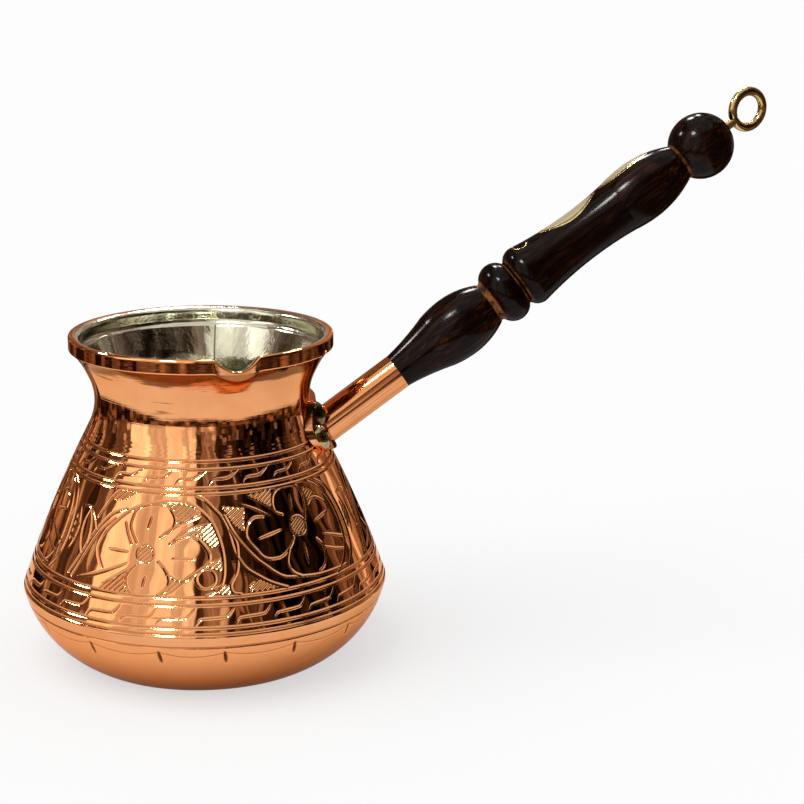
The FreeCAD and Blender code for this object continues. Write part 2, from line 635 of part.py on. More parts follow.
def eye_loop():
    """The open ring, which starts at the shank's end and runs round below it, bent a little off its line."""
    ring = doc.addObject("Part::Torus", "eye_loop")
    ring.setExpression("Radius1", rule("eye_ring"))
    ring.setExpression("Radius2", rule("eye_wire"))
    ring.setExpression("Angle3", rule("eye_sweep"))
    rise = FreeCAD.Rotation(Y_AXIS, -size("handle_rise"))
    upright = FreeCAD.Rotation(X_AXIS, size("eye_turn") + 90)
    bent = rise.multiply(upright).multiply(FreeCAD.Rotation(Y_AXIS, size("eye_bend")))
    from_shank = FreeCAD.Rotation(Z_AXIS, 180)
    shank_end = FreeCAD.Vector(0, 0, size("handle_base")) + rise.multVec(X_AXIS) * size("eye_at")
    middle = shank_end + bent.multVec(X_AXIS) * size("eye_ring")
    ring.Placement = FreeCAD.Placement(middle, bent.multiply(from_shank))
    return ring


elbow = doc.addObject("Part::Sphere", "eye_elbow")
elbow.setExpression("Radius", rule("eye_wire"))
set_on_handle(elbow, rule("eye_at"), Y_AXIS, "-dims.handle_rise")
shank_length = "dims.eye_at - dims.eye_tip_at - dims.eye_tip_length"
eye_shank = axis_cylinder("eye_shank", rule("eye_wire"), shank_length, "dims.eye_tip_at + dims.eye_tip_length")
eye_point = doc.addObject("Part::Cone", "eye_point")
eye_point.setExpression("Radius1", "dims.eye_wire / 5")
eye_point.setExpression("Radius2", rule("eye_wire"))
eye_point.setExpression("Height", rule("eye_tip_length"))
set_on_handle(eye_point, rule("eye_tip_at"), Y_AXIS, "90 - dims.handle_rise")
screw_eye = join("screw_eye", [eye_loop(), elbow, eye_shank, eye_point])

# Check every object, then write one file for each piece

doc.recompute()
for item in doc.Objects:
    if "Invalid" in item.State or "Error" in item.State:
        raise RuntimeError(f"{item.Name} failed: {item.State}")

os.makedirs("parts", exist_ok=True)
for node in [pot_body, tin_lining, bracket_plate, *rivets, ferrule, wooden_handle, *inlays, screw_eye]:
    node.Label = node.Name
    shape = node.Shape
    if shape.isNull() or not shape.isValid():
        raise RuntimeError(f"{node.Name} has no valid shape")
    shape.exportStep(f"parts/{node.Label}.step")
    print(node.Label, len(shape.Solids), "solid", round(shape.Volume), "cubic mm")
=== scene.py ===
import math

import bpy
import numpy as np
from mathutils import Matrix, Vector


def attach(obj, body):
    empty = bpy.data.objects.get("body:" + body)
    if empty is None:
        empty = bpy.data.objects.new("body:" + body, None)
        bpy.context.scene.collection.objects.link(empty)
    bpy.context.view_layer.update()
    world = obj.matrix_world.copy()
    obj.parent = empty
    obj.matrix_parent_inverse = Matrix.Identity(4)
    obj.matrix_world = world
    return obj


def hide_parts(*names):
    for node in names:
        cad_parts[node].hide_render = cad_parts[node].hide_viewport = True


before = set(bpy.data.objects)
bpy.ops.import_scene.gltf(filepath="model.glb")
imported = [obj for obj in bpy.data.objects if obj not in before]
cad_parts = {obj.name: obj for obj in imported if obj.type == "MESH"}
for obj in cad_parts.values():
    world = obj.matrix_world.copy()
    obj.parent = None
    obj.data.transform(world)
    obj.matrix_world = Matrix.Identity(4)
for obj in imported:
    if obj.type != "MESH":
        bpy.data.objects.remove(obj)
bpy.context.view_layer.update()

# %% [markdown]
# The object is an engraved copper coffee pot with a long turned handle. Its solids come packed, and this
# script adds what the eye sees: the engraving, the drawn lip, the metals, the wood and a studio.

MM = 0.001

# %% [markdown]
# The pot is spun on a lathe, so one outline turned about Z gives its whole side. Four arcs make it up:
# the bowl, the tight belly, the long wall and the hollow neck. Where two arcs meet, their centres and the
# meeting point lie on one line, so right triangles give every centre. An offset gives the inside of the
# sheet. The sizes are the solid's own, in millimetres.

# %% Outline of the pot's side
POT_HEIGHT = 93.6
WALL = 1.2
TIN = 0.3
BOWL_CURVE, BELLY_ROUND, BODY_CURVE, NECK_CURVE = 32.0, 2.0, 360.0, 16.2
BELLY = np.array([50.2, 21.2])
NECK = np.array([46.6, 75.2])
FLARE_ANGLE, FLARE_TOP = 25.0, 83.0
BOWL_HEIGHT = 28.4
bowl_inset = math.sqrt((BOWL_CURVE - BELLY_ROUND) ** 2 - (BOWL_HEIGHT - BELLY[1]) ** 2)
BOWL = np.array([BELLY[0] - bowl_inset, BOWL_HEIGHT])


def body_centre():
    """Centre of the long wall's arc, which touches the belly from inside and the neck from outside."""
    to_belly, to_neck = BODY_CURVE - BELLY_ROUND, BODY_CURVE + NECK_CURVE
    between = NECK - BELLY
    gap = np.hypot(*between)
    along = (to_belly ** 2 - to_neck ** 2 + gap ** 2) / (2 * gap)
    unit = between / gap
    return BELLY + unit * along + np.array([-unit[1], unit[0]]) * math.sqrt(to_belly ** 2 - along ** 2)


BODY = body_centre()


def turn_to(start, end):
    return math.atan2(end[1] - start[1], end[0] - start[0])


def arc(centre, radius, start, end, count=160):
    angles = np.linspace(start, end, count)
    return np.column_stack([centre[0] + radius * np.cos(angles), centre[1] + radius * np.sin(angles)])


def side_path(offset, top):
    """Radius and height along the pot's side, offset inwards, from the base's edge to the flare's top."""
    foot = math.asin((offset - BOWL[1]) / (BOWL_CURVE - offset))
    to_belly, wall_start, wall_end = turn_to(BOWL, BELLY), turn_to(BODY, BELLY), turn_to(BODY, NECK)
    neck_top = math.pi - math.radians(FLARE_ANGLE)
    neck = arc(NECK, NECK_CURVE + offset, math.pi + wall_end, neck_top)
    rise = top - neck[-1, 1]
    flare_top = neck[-1] + [rise * math.tan(math.radians(FLARE_ANGLE)), rise]
    return np.concatenate([
        arc(BOWL, BOWL_CURVE - offset, foot, to_belly),
        arc(BELLY, BELLY_ROUND - offset, to_belly, wall_start),
        arc(BODY, BODY_CURVE - offset, wall_start, wall_end), neck, [flare_top]])


def lengths(path):
    return np.concatenate([[0.0], np.cumsum(np.hypot(*np.diff(path, axis=0).T))])


def spaced(path, count):
    """The path again, with its points at even distances."""
    along = lengths(path)
    steps = np.linspace(0, along[-1], count)
    return np.column_stack([np.interp(steps, along, path[:, k]) for k in (0, 1)])


outside = side_path(0.0, FLARE_TOP)
print("the side is", round(lengths(outside)[-1], 1), "mm long")

# %% [markdown]
# The engraved wall needs a fine mesh: 1800 columns round the pot and a row every 0.19 mm, because
# a graver's line is only about 0.9 mm wide. The base, the neck and the inside keep 450 columns. The hem is a
# rolled edge: a small bead below, a straight band, a small rounding outside and a long one into the mouth.

# %% Rows of the copper body
FINE, COARSE = 1800, 450
ENGRAVED_FROM, ENGRAVED_TO = 12.4, 69.8
ROW_STEP = 0.19
LOW_ROWS, HIGH_ROWS = 15, 26
MOUTH, COLLAR, MOUTH_FLOOR, MOUTH_TOP = 34.4, 37.2, 88.4, 91.5
HEM = (COLLAR - MOUTH) / 2
BEAD, BEAD_HEIGHT = 0.45, 89.9
ROUND, ROUND_GAP = 0.7, 0.1
COLLAR_ANGLE = 50.0
LINING_GAP = 0.03

along = lengths(outside)
cut_from, cut_to = np.interp([ENGRAVED_FROM, ENGRAVED_TO], outside[:, 1], along)
fine_at = np.linspace(cut_from, cut_to, int((cut_to - cut_from) / ROW_STEP))
low_at = np.linspace(0, cut_from, LOW_ROWS, endpoint=False)
high_at = np.linspace(cut_to, along[-1], HIGH_ROWS)[1:]
wall_at = np.concatenate([low_at, fine_at, high_at])
wall_rows = np.column_stack([np.interp(wall_at, along, outside[:, k]) for k in (0, 1)])
bead_rows = arc((COLLAR - BEAD, BEAD_HEIGHT), BEAD, -math.pi / 2, 0, 7)


def sweep_out(start, end, count):
    """A curve that leaves the flare along its slope and meets the collar's foot at the collar's angle."""
    flare, collar = [np.array([math.sin(math.radians(a)), math.cos(math.radians(a))])
                     for a in (FLARE_ANGLE, COLLAR_ANGLE)]
    reach = np.linalg.solve(np.column_stack([flare, collar]), end - start)[0]
    t = np.linspace(0, 1, count)[:, None]
    return (1 - t) ** 2 * start + 2 * t * (1 - t) * (start + reach * flare) + t ** 2 * end


def hem_inside(angles):
    """The hem's inner rounding, from the top of the rim down into the mouth."""
    return np.column_stack([COLLAR - ROUND + (2 * HEM - ROUND) * np.cos(angles),
                            POT_HEIGHT - HEM + HEM * np.sin(angles)])


hem_rows = np.concatenate([
    sweep_out(wall_rows[-1], bead_rows[0], 22)[1:-1], bead_rows,
    [(COLLAR, z) for z in np.linspace(BEAD_HEIGHT + ROUND_GAP, POT_HEIGHT - ROUND - ROUND_GAP, 6)],
    arc((COLLAR - ROUND, POT_HEIGHT - ROUND), ROUND, 0, math.pi / 2, 9),
    hem_inside(np.linspace(math.pi / 2, math.pi, 14))[1:],
    [(MOUTH, z) for z in np.linspace(MOUTH_TOP, MOUTH_FLOOR, 5)]])
inside_rows = spaced(side_path(WALL - LINING_GAP, MOUTH_FLOOR), 70)[::-1]
base_rows = np.array([(r, 0.0) for r in (9, 18, 27, 33.5, 35.0)])
floor_rows = np.array([(r, WALL - LINING_GAP) for r in (30, 20, 10)])
pot_rows = np.concatenate([base_rows, wall_rows, hem_rows, inside_rows, floor_rows])
first_fine = len(base_rows) + len(low_at)
is_fine = np.zeros(len(pot_rows), bool)
is_fine[first_fine:first_fine + len(fine_at)] = True
print(len(pot_rows), "rows,", is_fine.sum(), "of them engraved")

# %% [markdown]
# The ornament is a frieze: two kinds of four-petalled flower, each inside a round scroll, three pairs
# round the pot. Every line is written as a few points, in degrees from the left of the pair and millimetres
# of height, and a smooth curve goes through them. The pattern is a traditional one, so it is drawn as seen.

# %% Lines of the frieze
PAIR_DEGREES = 120.0
PAIR_STARTS_AT = -148.0
FLOWER_A = [
    [(26, 44.4), (22.7, 48), (22.8, 50.5), (24, 52.7), (28, 53.9), (32, 54.2), (36, 54.2), (38.8, 52.3),
     (39.8, 50.5), (39, 48.5), (36.8, 47.3), (34.8, 46.3)],
    [(38.5, 44.8), (44.5, 46.8), (48, 46.2), (51, 44), (52.4, 42), (52, 40.5), (50, 38.7), (47, 37.2),
     (45, 36), (41.5, 36), (38, 37.2)],
    [(26.5, 39), (24.7, 37.4), (23.8, 35.5), (24.5, 33.5), (26, 32)],
    [(34.8, 40.2), (37, 38.6), (38.7, 36.5), (38.7, 34.5), (37, 32.8), (35.5, 32)],
    [(20.2, 49), (21.8, 46.5), (24, 44)],
]
FLOWER_B = [
    [(73.5, 50.3), (70, 50.4), (67.2, 49), (66, 47), (66.5, 45), (69, 42.5), (71.5, 40.3), (74.5, 39.6),
     (78, 39.8), (81.5, 41.3), (83.8, 43), (84.5, 44)],
    [(82, 50), (79.2, 51), (78.7, 53), (79.7, 55), (82, 56.3), (85, 56.7), (91, 56.5), (93, 55.5),
     (94, 53.5), (93, 50), (91.5, 47.5)],
    [(81.5, 41), (80.2, 39), (80, 37), (81.5, 35.2), (84, 34)],
    [(94.5, 42), (96.5, 40), (96.2, 37), (94.5, 35), (92, 34)],
    [(95.5, 51), (98, 52), (101.5, 51.8), (105, 50), (105.5, 48)],
]
SCROLLS = [
    [(14, 37), (11.2, 40), (10.5, 42.5), (12.5, 46), (16, 49), (20, 51.5), (25, 53.3), (30, 54.3),
     (35, 54.9), (40, 55), (44, 54.8), (47, 54), (50.5, 52.3), (53.5, 50), (55.5, 47), (56.8, 43.5),
     (57.2, 40), (56.8, 36.5), (55.5, 34), (53, 32.6), (51, 32)],
    [(47, 57), (51, 55.6), (55, 53), (57.5, 51), (59.4, 48), (61, 43), (63, 40), (65, 38), (68.5, 36),
     (72.5, 34), (78, 32)],
    [(60, 48), (62, 45), (62.2, 42), (61.8, 39), (61, 37), (59.5, 35.2), (59, 34), (59.7, 32.5), (62, 32)],
    [(58.5, 51.5), (62, 46.5), (65.5, 43), (69, 40), (72, 38), (74.5, 36.3), (77.5, 34.8), (81, 34.2),
     (84, 33.9), (91, 33.2), (99, 33), (105, 33)],
    [(97, 57), (103, 55), (107, 52), (109.2, 48.5), (109.8, 44), (109.2, 40), (107, 36.5), (103, 33.5),
     (100, 32)],
    [(102, 57), (108, 54.5), (111.2, 51), (112.8, 47), (113.2, 43), (112.5, 39), (110.5, 35.5), (107, 32.5)],
    [(15, 49.5), (10.5, 46.5), (7, 42), (4, 37), (1.5, 33)],
    [(19.5, 52.3), (14, 50.8), (10, 48), (6, 43.5), (3, 38.5), (-0.5, 33.5)],
    [(15, 57), (11, 54), (7, 49)],
]
LEAVES = [
    [(34.8, 46.6), (40, 49), (45, 50.5), (49.5, 51.6)], [(38.5, 44.8), (43.5, 47.8), (48, 49), (53, 49.7)],
    [(24, 39.3), (18, 37.2), (11, 35), (4, 33.3)], [(27, 39), (21, 36), (15, 33)],
    [(38, 32), (45, 36.3), (51, 39.5)],
    [(64.5, 54.2), (71, 52.4), (77, 50)], [(68, 56), (74, 53.8), (79.5, 51)],
    [(98, 42.8), (105, 41), (111, 39.5)], [(96, 39.8), (102, 38), (108, 36.8)],
    [(-4.5, 50.5), (2, 50.7), (6, 48), (8, 45.5)],
    [(2, 50.5), (0.5, 47), (1, 43), (3.5, 39.5), (5.2, 43), (4.5, 47), (2, 50.5)],
    [(-4, 50.3), (-2, 46), (-2.5, 42), (-4.5, 39)],
]
SLITS = [
    [(30.7, 51.5), (29.5, 48)], [(39.5, 41.2), (47.5, 41)], [(30.7, 36.6), (30, 33.5)],
    [(15, 42), (23.5, 42)], [(70, 45), (80.5, 46.5)], [(87.7, 54.5), (86.5, 50.5)],
    [(88.2, 42), (88, 36.5)], [(95.7, 46.3), (105, 47.8)],
]
HATCHED = [
    [(37.5, 54.6), (43, 54.6), (47, 53.6), (49.4, 52), (45, 50.8), (40.4, 49.6), (40, 51.5)],
    [(44.5, 47.3), (53, 50), (55, 47), (56, 44.5), (53, 44), (51, 45.5), (48, 47)],
    [(23, 36.5), (17, 34.2), (14.5, 32), (25, 32), (23.8, 34)],
    [(38.5, 37), (43, 36), (45, 35.4), (38.5, 32.2), (37.5, 33.2), (38.8, 34.8)],
    [(50.5, 39.5), (56, 41.5), (56.6, 38), (55, 38.3)],
    [(68.5, 56), (79, 56.8), (78.5, 53), (79, 51.8)],
    [(57.5, 53.8), (66.5, 53), (65.5, 49), (66, 46.8), (62, 49)],
    [(65, 34.5), (69, 34.8), (75, 32.3), (65, 32.2)],
    [(94.5, 55.5), (98, 54.8), (101, 53.2), (95.5, 52)],
    [(15, 56.6), (22, 56.6), (18, 54.5), (12.5, 54)],
    [(52, 34), (56, 32.2), (59, 32.2), (58.5, 34.2), (56.8, 34.4)],
    [(-5, 48.5), (-2.5, 46), (-3, 42), (-5.5, 41)],
]
FLOWER_CENTRES = [((29.7, 42.0), 2.4), ((87.7, 46.5), 2.6)]
CURL = ((51, 36.2), 2.6)
print(len(FLOWER_A + FLOWER_B + SCROLLS + LEAVES), "lines and", len(HATCHED), "hatched fields in each pair")

# %% [markdown]
# A graver cuts a V-shaped groove. Here the wall's height is a table with one number for each vertex, and a
# tool that follows a line presses a V into it. Keeping the deepest value where lines cross is what a real
# cut does. A stroke that thins to both ends is the graver's quick flick. Hatching is many grooves.

# %% Graver
fine_rows = pot_rows[is_fine]
row_radius, row_height = fine_rows.T
row_along = fine_at - fine_at[0]
COLUMN_DEGREES = 360.0 / FINE
SAMPLE = 0.12
MEAN_RADIUS = 45.0
FLICK_END = 0.05
# width and depth of each kind of line
CENTRE_LINE, CURL_LINE = (0.8, 0.34), (0.7, 0.3)
FLOWER_LINE, SCROLL_LINE = (0.85, 0.36), (0.85, 0.34)
LEAF_LINE, SLIT_LINE, STROKE_LINE = (0.9, 0.34), (1.0, 0.34), (0.9, 0.36)
# the hatching's pitch and depth, its lean, its grooves' steepness and the land between them
FIELD_HATCH, CENTRE_HATCH = (1.2, 0.26), (1.0, 0.24)
HATCH_LEAN = math.radians(50)
HATCH_STEEP, HATCH_LAND = 1.6, 0.3
LEFT_OF_PAIR = 10.0


def smooth_curve(points):
    """A smooth curve through the points, sampled closer than a row."""
    known = np.array([points[0], *points, points[-1]], float)
    pieces = []
    for before, start, end, after in zip(known, known[1:], known[2:], known[3:]):
        reach = math.hypot(math.radians(end[0] - start[0]) * MEAN_RADIUS, end[1] - start[1])
        t = np.linspace(0, 1, max(2, int(reach / SAMPLE)), endpoint=False)[:, None]
        pieces.append(0.5 * (2 * start + (end - before) * t
                             + (2 * before - 5 * start + 4 * end - after) * t ** 2
                             + (3 * start - before - 3 * end + after) * t ** 3))
    return np.concatenate(pieces + [known[-1:]])


def engrave(field, points, width, depth, flick=False):
    """Presses a V-shaped line into a field of wall heights."""
    path = smooth_curve(points)
    if flick:
        press = np.sqrt(np.sin(np.linspace(FLICK_END, math.pi - FLICK_END, len(path))))
    else:
        press = np.ones(len(path))
    places = np.interp(path[:, 1], row_height, row_along)
    radii = np.interp(path[:, 1], row_height, row_radius)
    columns = field.shape[1]
    for degrees, place, radius, force in zip(path[:, 0], places, radii, press):
        half = width * force / 2
        rows = np.arange(*np.searchsorted(row_along, (place - half, place + half)))
        spread = math.degrees(half / radius) / COLUMN_DEGREES
        middle = degrees / COLUMN_DEGREES
        across = np.arange(math.ceil(middle - spread), math.floor(middle + spread) + 1)
        sideways = np.radians((across - middle) * COLUMN_DEGREES) * radius
        away = np.hypot(sideways[None, :], (row_along[rows] - place)[:, None])
        bite = -depth * force * np.clip(1 - away / half, 0, 1)
        window = np.ix_(rows, across % columns)
        field[window] = np.minimum(field[window], bite)


def ring(centre, radius, turns=24):
    """A circle on the wall as a list of places."""
    wide = math.degrees(radius / np.interp(centre[1], row_height, row_radius))
    lean = np.interp(centre[1] + 1, row_height, row_along) - np.interp(centre[1], row_height, row_along)
    angles = np.linspace(0, 2 * math.pi, turns)
    return [(centre[0] + wide * math.cos(a), centre[1] + radius / lean * math.sin(a)) for a in angles]


def hatch(field, outline, pitch, depth):
    """Cuts slanting grooves side by side over a closed outline."""
    degrees = np.tile(np.arange(field.shape[1]) * COLUMN_DEGREES, (len(row_height), 1))
    if min(outline)[0] < 0:
        degrees = np.where(degrees > PAIR_DEGREES - LEFT_OF_PAIR, degrees - PAIR_DEGREES, degrees)
    heights = row_height[:, None] + np.zeros_like(degrees)
    within = np.zeros(degrees.shape, bool)
    for (a0, z0), (a1, z1) in zip(outline, outline[1:] + outline[:1]):
        if z0 != z1:
            crossing = (heights > z0) != (heights > z1)
            within ^= crossing & (degrees < (a1 - a0) * (heights - z0) / (z1 - z0) + a0)
    sideways = np.radians(degrees) * row_radius[:, None]
    phase = (sideways * math.sin(HATCH_LEAN) - row_along[:, None] * math.cos(HATCH_LEAN)) / pitch
    groove = -depth * np.clip(HATCH_STEEP * (1 - 2 * np.abs(phase % 1 - 0.5)) - HATCH_LAND, 0, 1)
    field[within] = np.minimum(field, groove)[within]


pair = np.zeros((len(fine_rows), int(PAIR_DEGREES / COLUMN_DEGREES)))
for outline in HATCHED:
    hatch(pair, outline, *FIELD_HATCH)
for centre, radius in FLOWER_CENTRES:
    hatch(pair, ring(centre, radius), *CENTRE_HATCH)
    engrave(pair, ring(centre, radius), *CENTRE_LINE)
engrave(pair, ring(*CURL), *CURL_LINE)
for group, size in ((FLOWER_A + FLOWER_B, FLOWER_LINE), (SCROLLS, SCROLL_LINE)):
    for line in group:
        engrave(pair, line, *size)
for group, size in ((LEAVES, LEAF_LINE), (SLITS, SLIT_LINE)):
    for line in group:
        engrave(pair, line, *size, flick=True)
wall = np.tile(pair, round(360 / PAIR_DEGREES))
print("deepest cut of the frieze", round(-wall.min(), 2), "mm")

# %% [markdown]
# Turned rings frame the frieze. Above and below it run bands of bent strokes, each a flick that
# starts low, runs level and leaves upwards. Below the belly, sixteen lens-shaped nicks hang on a scalloped
# line. A second table keeps the dirt of the nicks, which is darker than their depth alone would make it.

# %% Rings, strokes and nicks
RINGS = [65.0, 63.0, 58.5, 57.0, 31.5, 29.6, 24.0, 22.3, 18.4]
RING_DEPTH, RING_HALF, RING_FLAT = 0.35, 0.38, 1.2
for ring_height in RINGS:
    from_ring = np.abs(row_along - np.interp(ring_height, row_height, row_along))[:, None]
    wall = np.minimum(wall, -RING_DEPTH * np.clip(RING_FLAT - from_ring / RING_HALF, 0, 1))
TURNED_FROM, TURNED_TO, TURNED_PITCH, TURNED_DEPTH = 65.6, 69.4, 1.2, 0.008
turned_rows = (row_height > TURNED_FROM) & (row_height < TURNED_TO)
ripple = 1 + np.cos(2 * math.pi * row_along[turned_rows] / TURNED_PITCH)
wall[turned_rows] -= TURNED_DEPTH * ripple[:, None]

UPPER_STROKE = [(0, 59.1), (1.2, 60.2), (3, 60.6), (8, 60.8), (11, 61.7), (13.5, 62.7)]
LOWER_STROKE = [(0, 24.5), (1.2, 25.9), (2.5, 26.3), (8, 26.5), (10, 26.9), (12.2, 29.0)]
# each band's stroke, how many there are and the place of the first one in degrees
for stroke, count, start in ((UPPER_STROKE, 25, 53.0), (LOWER_STROKE, 30, 59.5)):
    for number in range(count):
        placed = [(start + number * 360 / count + a, z) for a, z in stroke]
        engrave(wall, placed, *STROKE_LINE, flick=True)

DEEPEST = 0.6
NICKS, NICKS_FROM = 16, 11.5
NICK_TOP, NICK_FOOT, NICK_LEAN = 17.1, 13.1, 0.3
NICK_LINE, NICK_GRIME = (1.35, DEEPEST), (1.25, 2.2)
SAG_TOP, SAG_DROP = 16.7, 5.2
SAG_LINE, SAG_GRIME = (0.55, 0.22), (0.45, 0.9)
nicks = NICKS_FROM + np.arange(NICKS + 1) * 360 / NICKS
# the hand set two of the nicks a little off their places
nicks[[0, NICKS]] += 1.4
nicks[1] += 2.3
grime = np.zeros_like(wall)
for nick, following in zip(nicks, nicks[1:]):
    slash = [(nick - NICK_LEAN, NICK_TOP), (nick + NICK_LEAN, NICK_FOOT)]
    engrave(wall, slash, *NICK_LINE, flick=True)
    engrave(grime, slash, *NICK_GRIME, flick=True)
    sag = [(nick + t * (following - nick), SAG_TOP - SAG_DROP * t * (1 - t)) for t in np.linspace(0, 1, 7)]
    engrave(wall, sag, *SAG_LINE)
    engrave(grime, sag, *SAG_GRIME)
cut_depth = np.maximum(-wall / DEEPEST, -grime)
print(len(RINGS), "rings and", NICKS, "nicks")

# %% [markdown]
# Very shallow waves stand for the hammer's planishing and make the reflections waver. They are sums of
# sines with seeded random lengths, and they fade out where the engraved part ends.

# %% Planishing
WAVES, WAVE_HEIGHT, WAVE_FADE = 14, 0.006, 4.0
chance = np.random.default_rng(7)
turns = np.radians(np.arange(FINE) * COLUMN_DEGREES)[None, :]
waves = np.zeros_like(wall)
for _ in range(WAVES):
    round_pot, up_wall = chance.integers(9, 34), chance.uniform(0.2, 0.75)
    waves += WAVE_HEIGHT * np.sin(round_pot * turns + up_wall * row_along[:, None]
                                  + chance.uniform(0, 6.28))
fade = np.clip(np.minimum(row_along, row_along[-1] - row_along) / WAVE_FADE, 0, 1)[:, None]
wall += fade * (waves - waves.max())
print("wall heights from", round(wall.min(), 2), "to", round(wall.max(), 2), "mm")

# %% [markdown]
# The pouring lip is drawn out of the rim with a punch: the metal sinks and leans outwards over about twenty
# degrees. The same bend moves the copper and the tin, so the two stay together. It fades out down the neck.

# %% Pouring lip
LIP_AT, LIP_HALF = -82.2, 9.8
LIP_SINKS, LIP_LEANS = 3.4, 1.5
LIP_ROUND, LIP_SOFT, LIP_EASE = 1.8, 0.012, 0.003


def draw_lip(radius, height, degrees):
    """Radius and height after the lip has been drawn: a round trough with softened shoulders."""
    aside = np.abs((degrees - LIP_AT + 180) % 360 - 180) / LIP_HALF
    trough = 1 - aside ** LIP_ROUND
    bend = np.clip((trough + np.sqrt(trough ** 2 + LIP_SOFT)) / 2 - LIP_EASE * aside, 0, 1)
    reach = np.clip((height - FLARE_TOP) / (POT_HEIGHT - FLARE_TOP), 0, 1)
    return radius + LIP_LEANS * bend * reach ** 2, height - LIP_SINKS * bend * reach


print("the lip reaches", round(draw_lip(COLLAR, POT_HEIGHT - HEM, LIP_AT)[0], 2), "mm from the centre line")

# %% [markdown]
# A lathe mesh is rings of vertices joined by faces. Where a coarse ring meets a fine one, each coarse edge
# joins four fine edges with one seven-sided face, so there is no gap. The first and last rings close onto a
# point. The map wraps the mesh once: azimuth across, length along the outline up.

# %% Lathe
def lathe(name, rows, fine, lift=None):
    """A closed turned mesh from rows of radius and height in millimetres."""
    counts = np.where(fine, FINE, COARSE)
    firsts = np.concatenate([[0], np.cumsum(counts)])
    steps = lengths(np.concatenate([[(0, rows[0, 1])], rows, [(0, rows[-1, 1])]]))
    up = steps / steps[-1]
    slope = np.gradient(rows, axis=0)
    normals = np.column_stack([slope[:, 1], -slope[:, 0]]) / np.hypot(*slope.T)[:, None]
    points = []
    for row, count in enumerate(counts):
        degrees = PAIR_STARTS_AT + np.arange(count) * 360 / count
        raised = lift[row] if lift is not None and fine[row] else np.zeros(count)
        radius, height = draw_lip(rows[row, 0] + normals[row, 0] * raised,
                                  rows[row, 1] + normals[row, 1] * raised, degrees)
        angles = np.radians(degrees)
        points.append(np.column_stack([radius * np.cos(angles), radius * np.sin(angles), height]))
    poles = [(0, 0, rows[0, 1]), (0, 0, rows[-1, 1])]
    points = np.concatenate(points + [np.array(poles)]) * MM
    first_pole, last_pole = len(points) - 2, len(points) - 1

    corners, sizes, across, above = [], [], [], []

    def collect(faces, us, vs):
        corners.append(faces.ravel())
        across.append(us.ravel())
        above.append(np.broadcast_to(vs, faces.shape).ravel())
        sizes.append(np.full(len(faces), faces.shape[1]))

    for row in range(len(rows) - 1):
        low, high = counts[row], counts[row + 1]
        cells = np.arange(min(low, high))[:, None]
        low_steps = np.arange(low // len(cells) + 1)[None, :]
        high_steps = np.arange(high // len(cells) + 1)[None, ::-1]
        lower = cells * (low // len(cells)) + low_steps
        upper = cells * (high // len(cells)) + high_steps
        faces = np.hstack([firsts[row] + lower % low, firsts[row + 1] + upper % high])
        heights = [up[row + 1]] * lower.shape[1] + [up[row + 2]] * upper.shape[1]
        collect(faces, np.hstack([lower / low, upper / high]), np.array(heights))
    for pole, row, order, end in ((first_pole, 0, (1, 0), 0.0), (last_pole, len(rows) - 1, (0, 1), 1.0)):
        cells = np.arange(COARSE)[:, None]
        edge = cells + np.array(order)[None, :]
        faces = np.hstack([np.full((COARSE, 1), pole), firsts[row] + edge % COARSE])
        us = np.hstack([(cells + 0.5) / COARSE, edge / COARSE])
        collect(faces, us, np.array([end, up[row + 1], up[row + 1]]))

    mesh = bpy.data.meshes.new(name)
    corner_list, size_list = np.concatenate(corners), np.concatenate(sizes)
    loop_starts = np.concatenate([[0], np.cumsum(size_list)[:-1]])
    mesh.vertices.add(len(points))
    mesh.vertices.foreach_set("co", points.ravel())
    mesh.loops.add(len(corner_list))
    mesh.loops.foreach_set("vertex_index", corner_list.astype(np.int32))
    mesh.polygons.add(len(size_list))
    mesh.polygons.foreach_set("loop_start", loop_starts.astype(np.int32))
    mesh.update(calc_edges=True)
    layer = mesh.uv_layers.new(name="OFBake")
    layer.uv.foreach_set("vector", np.column_stack([np.concatenate(across), np.concatenate(above)]).ravel())
    mesh.shade_smooth()
    piece = bpy.data.objects.new(name, mesh)
    bpy.context.scene.collection.objects.link(piece)
    print(name, "has", len(size_list), "faces")
    return piece, firsts


lifts = np.zeros((len(pot_rows), FINE))
lifts[is_fine] = wall
pot, pot_firsts = lathe("engraved_pot", pot_rows, is_fine, lifts)
cut = np.zeros(len(pot.data.vertices))
fine_start = pot_firsts[first_fine]
cut[fine_start:fine_start + cut_depth.size] = np.clip(cut_depth.ravel(), 0, 1)
pot.data.attributes.new("cut", "FLOAT", "POINT").data.foreach_set("value", cut)
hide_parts("pot_body")
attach(pot, "pot")

# %% [markdown]
# The inside is wiped with tin, so that copper does not touch the coffee. The lining is a thin shell of its
# own that follows the wall and thins out over the hem's rounding, where only a line of copper is left.

# %% Tin lining
TIN_EDGE = 0.03
tin_inside = spaced(side_path(WALL + TIN, MOUTH_FLOOR + TIN), 110)
tin_outside = spaced(side_path(WALL, MOUTH_FLOOR), 90)
wiped = np.radians(np.linspace(118, 180, 9))
outward = np.column_stack([np.cos(wiped), np.sin(wiped)])
over_edge = hem_inside(wiped)
under_edge = (over_edge - TIN_EDGE * outward)[::-1]
thinning = np.linspace(TIN_EDGE, TIN, len(wiped))[:, None] * outward
tin_rows = np.concatenate([
    [(r, WALL) for r in (10, 20, 30)], tin_outside, [(MOUTH, z) for z in (MOUTH_FLOOR, 90.0, 92.0)],
    under_edge, over_edge + thinning, [(MOUTH - TIN, z) for z in (91.4, 90.2, MOUTH_FLOOR + TIN)],
    tin_inside[::-1], [(r, WALL + TIN) for r in (30, 20, 10)]])
lining, _ = lathe("wiped_tin", tin_rows, np.zeros(len(tin_rows), bool))
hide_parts("tin_lining")
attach(lining, "pot")

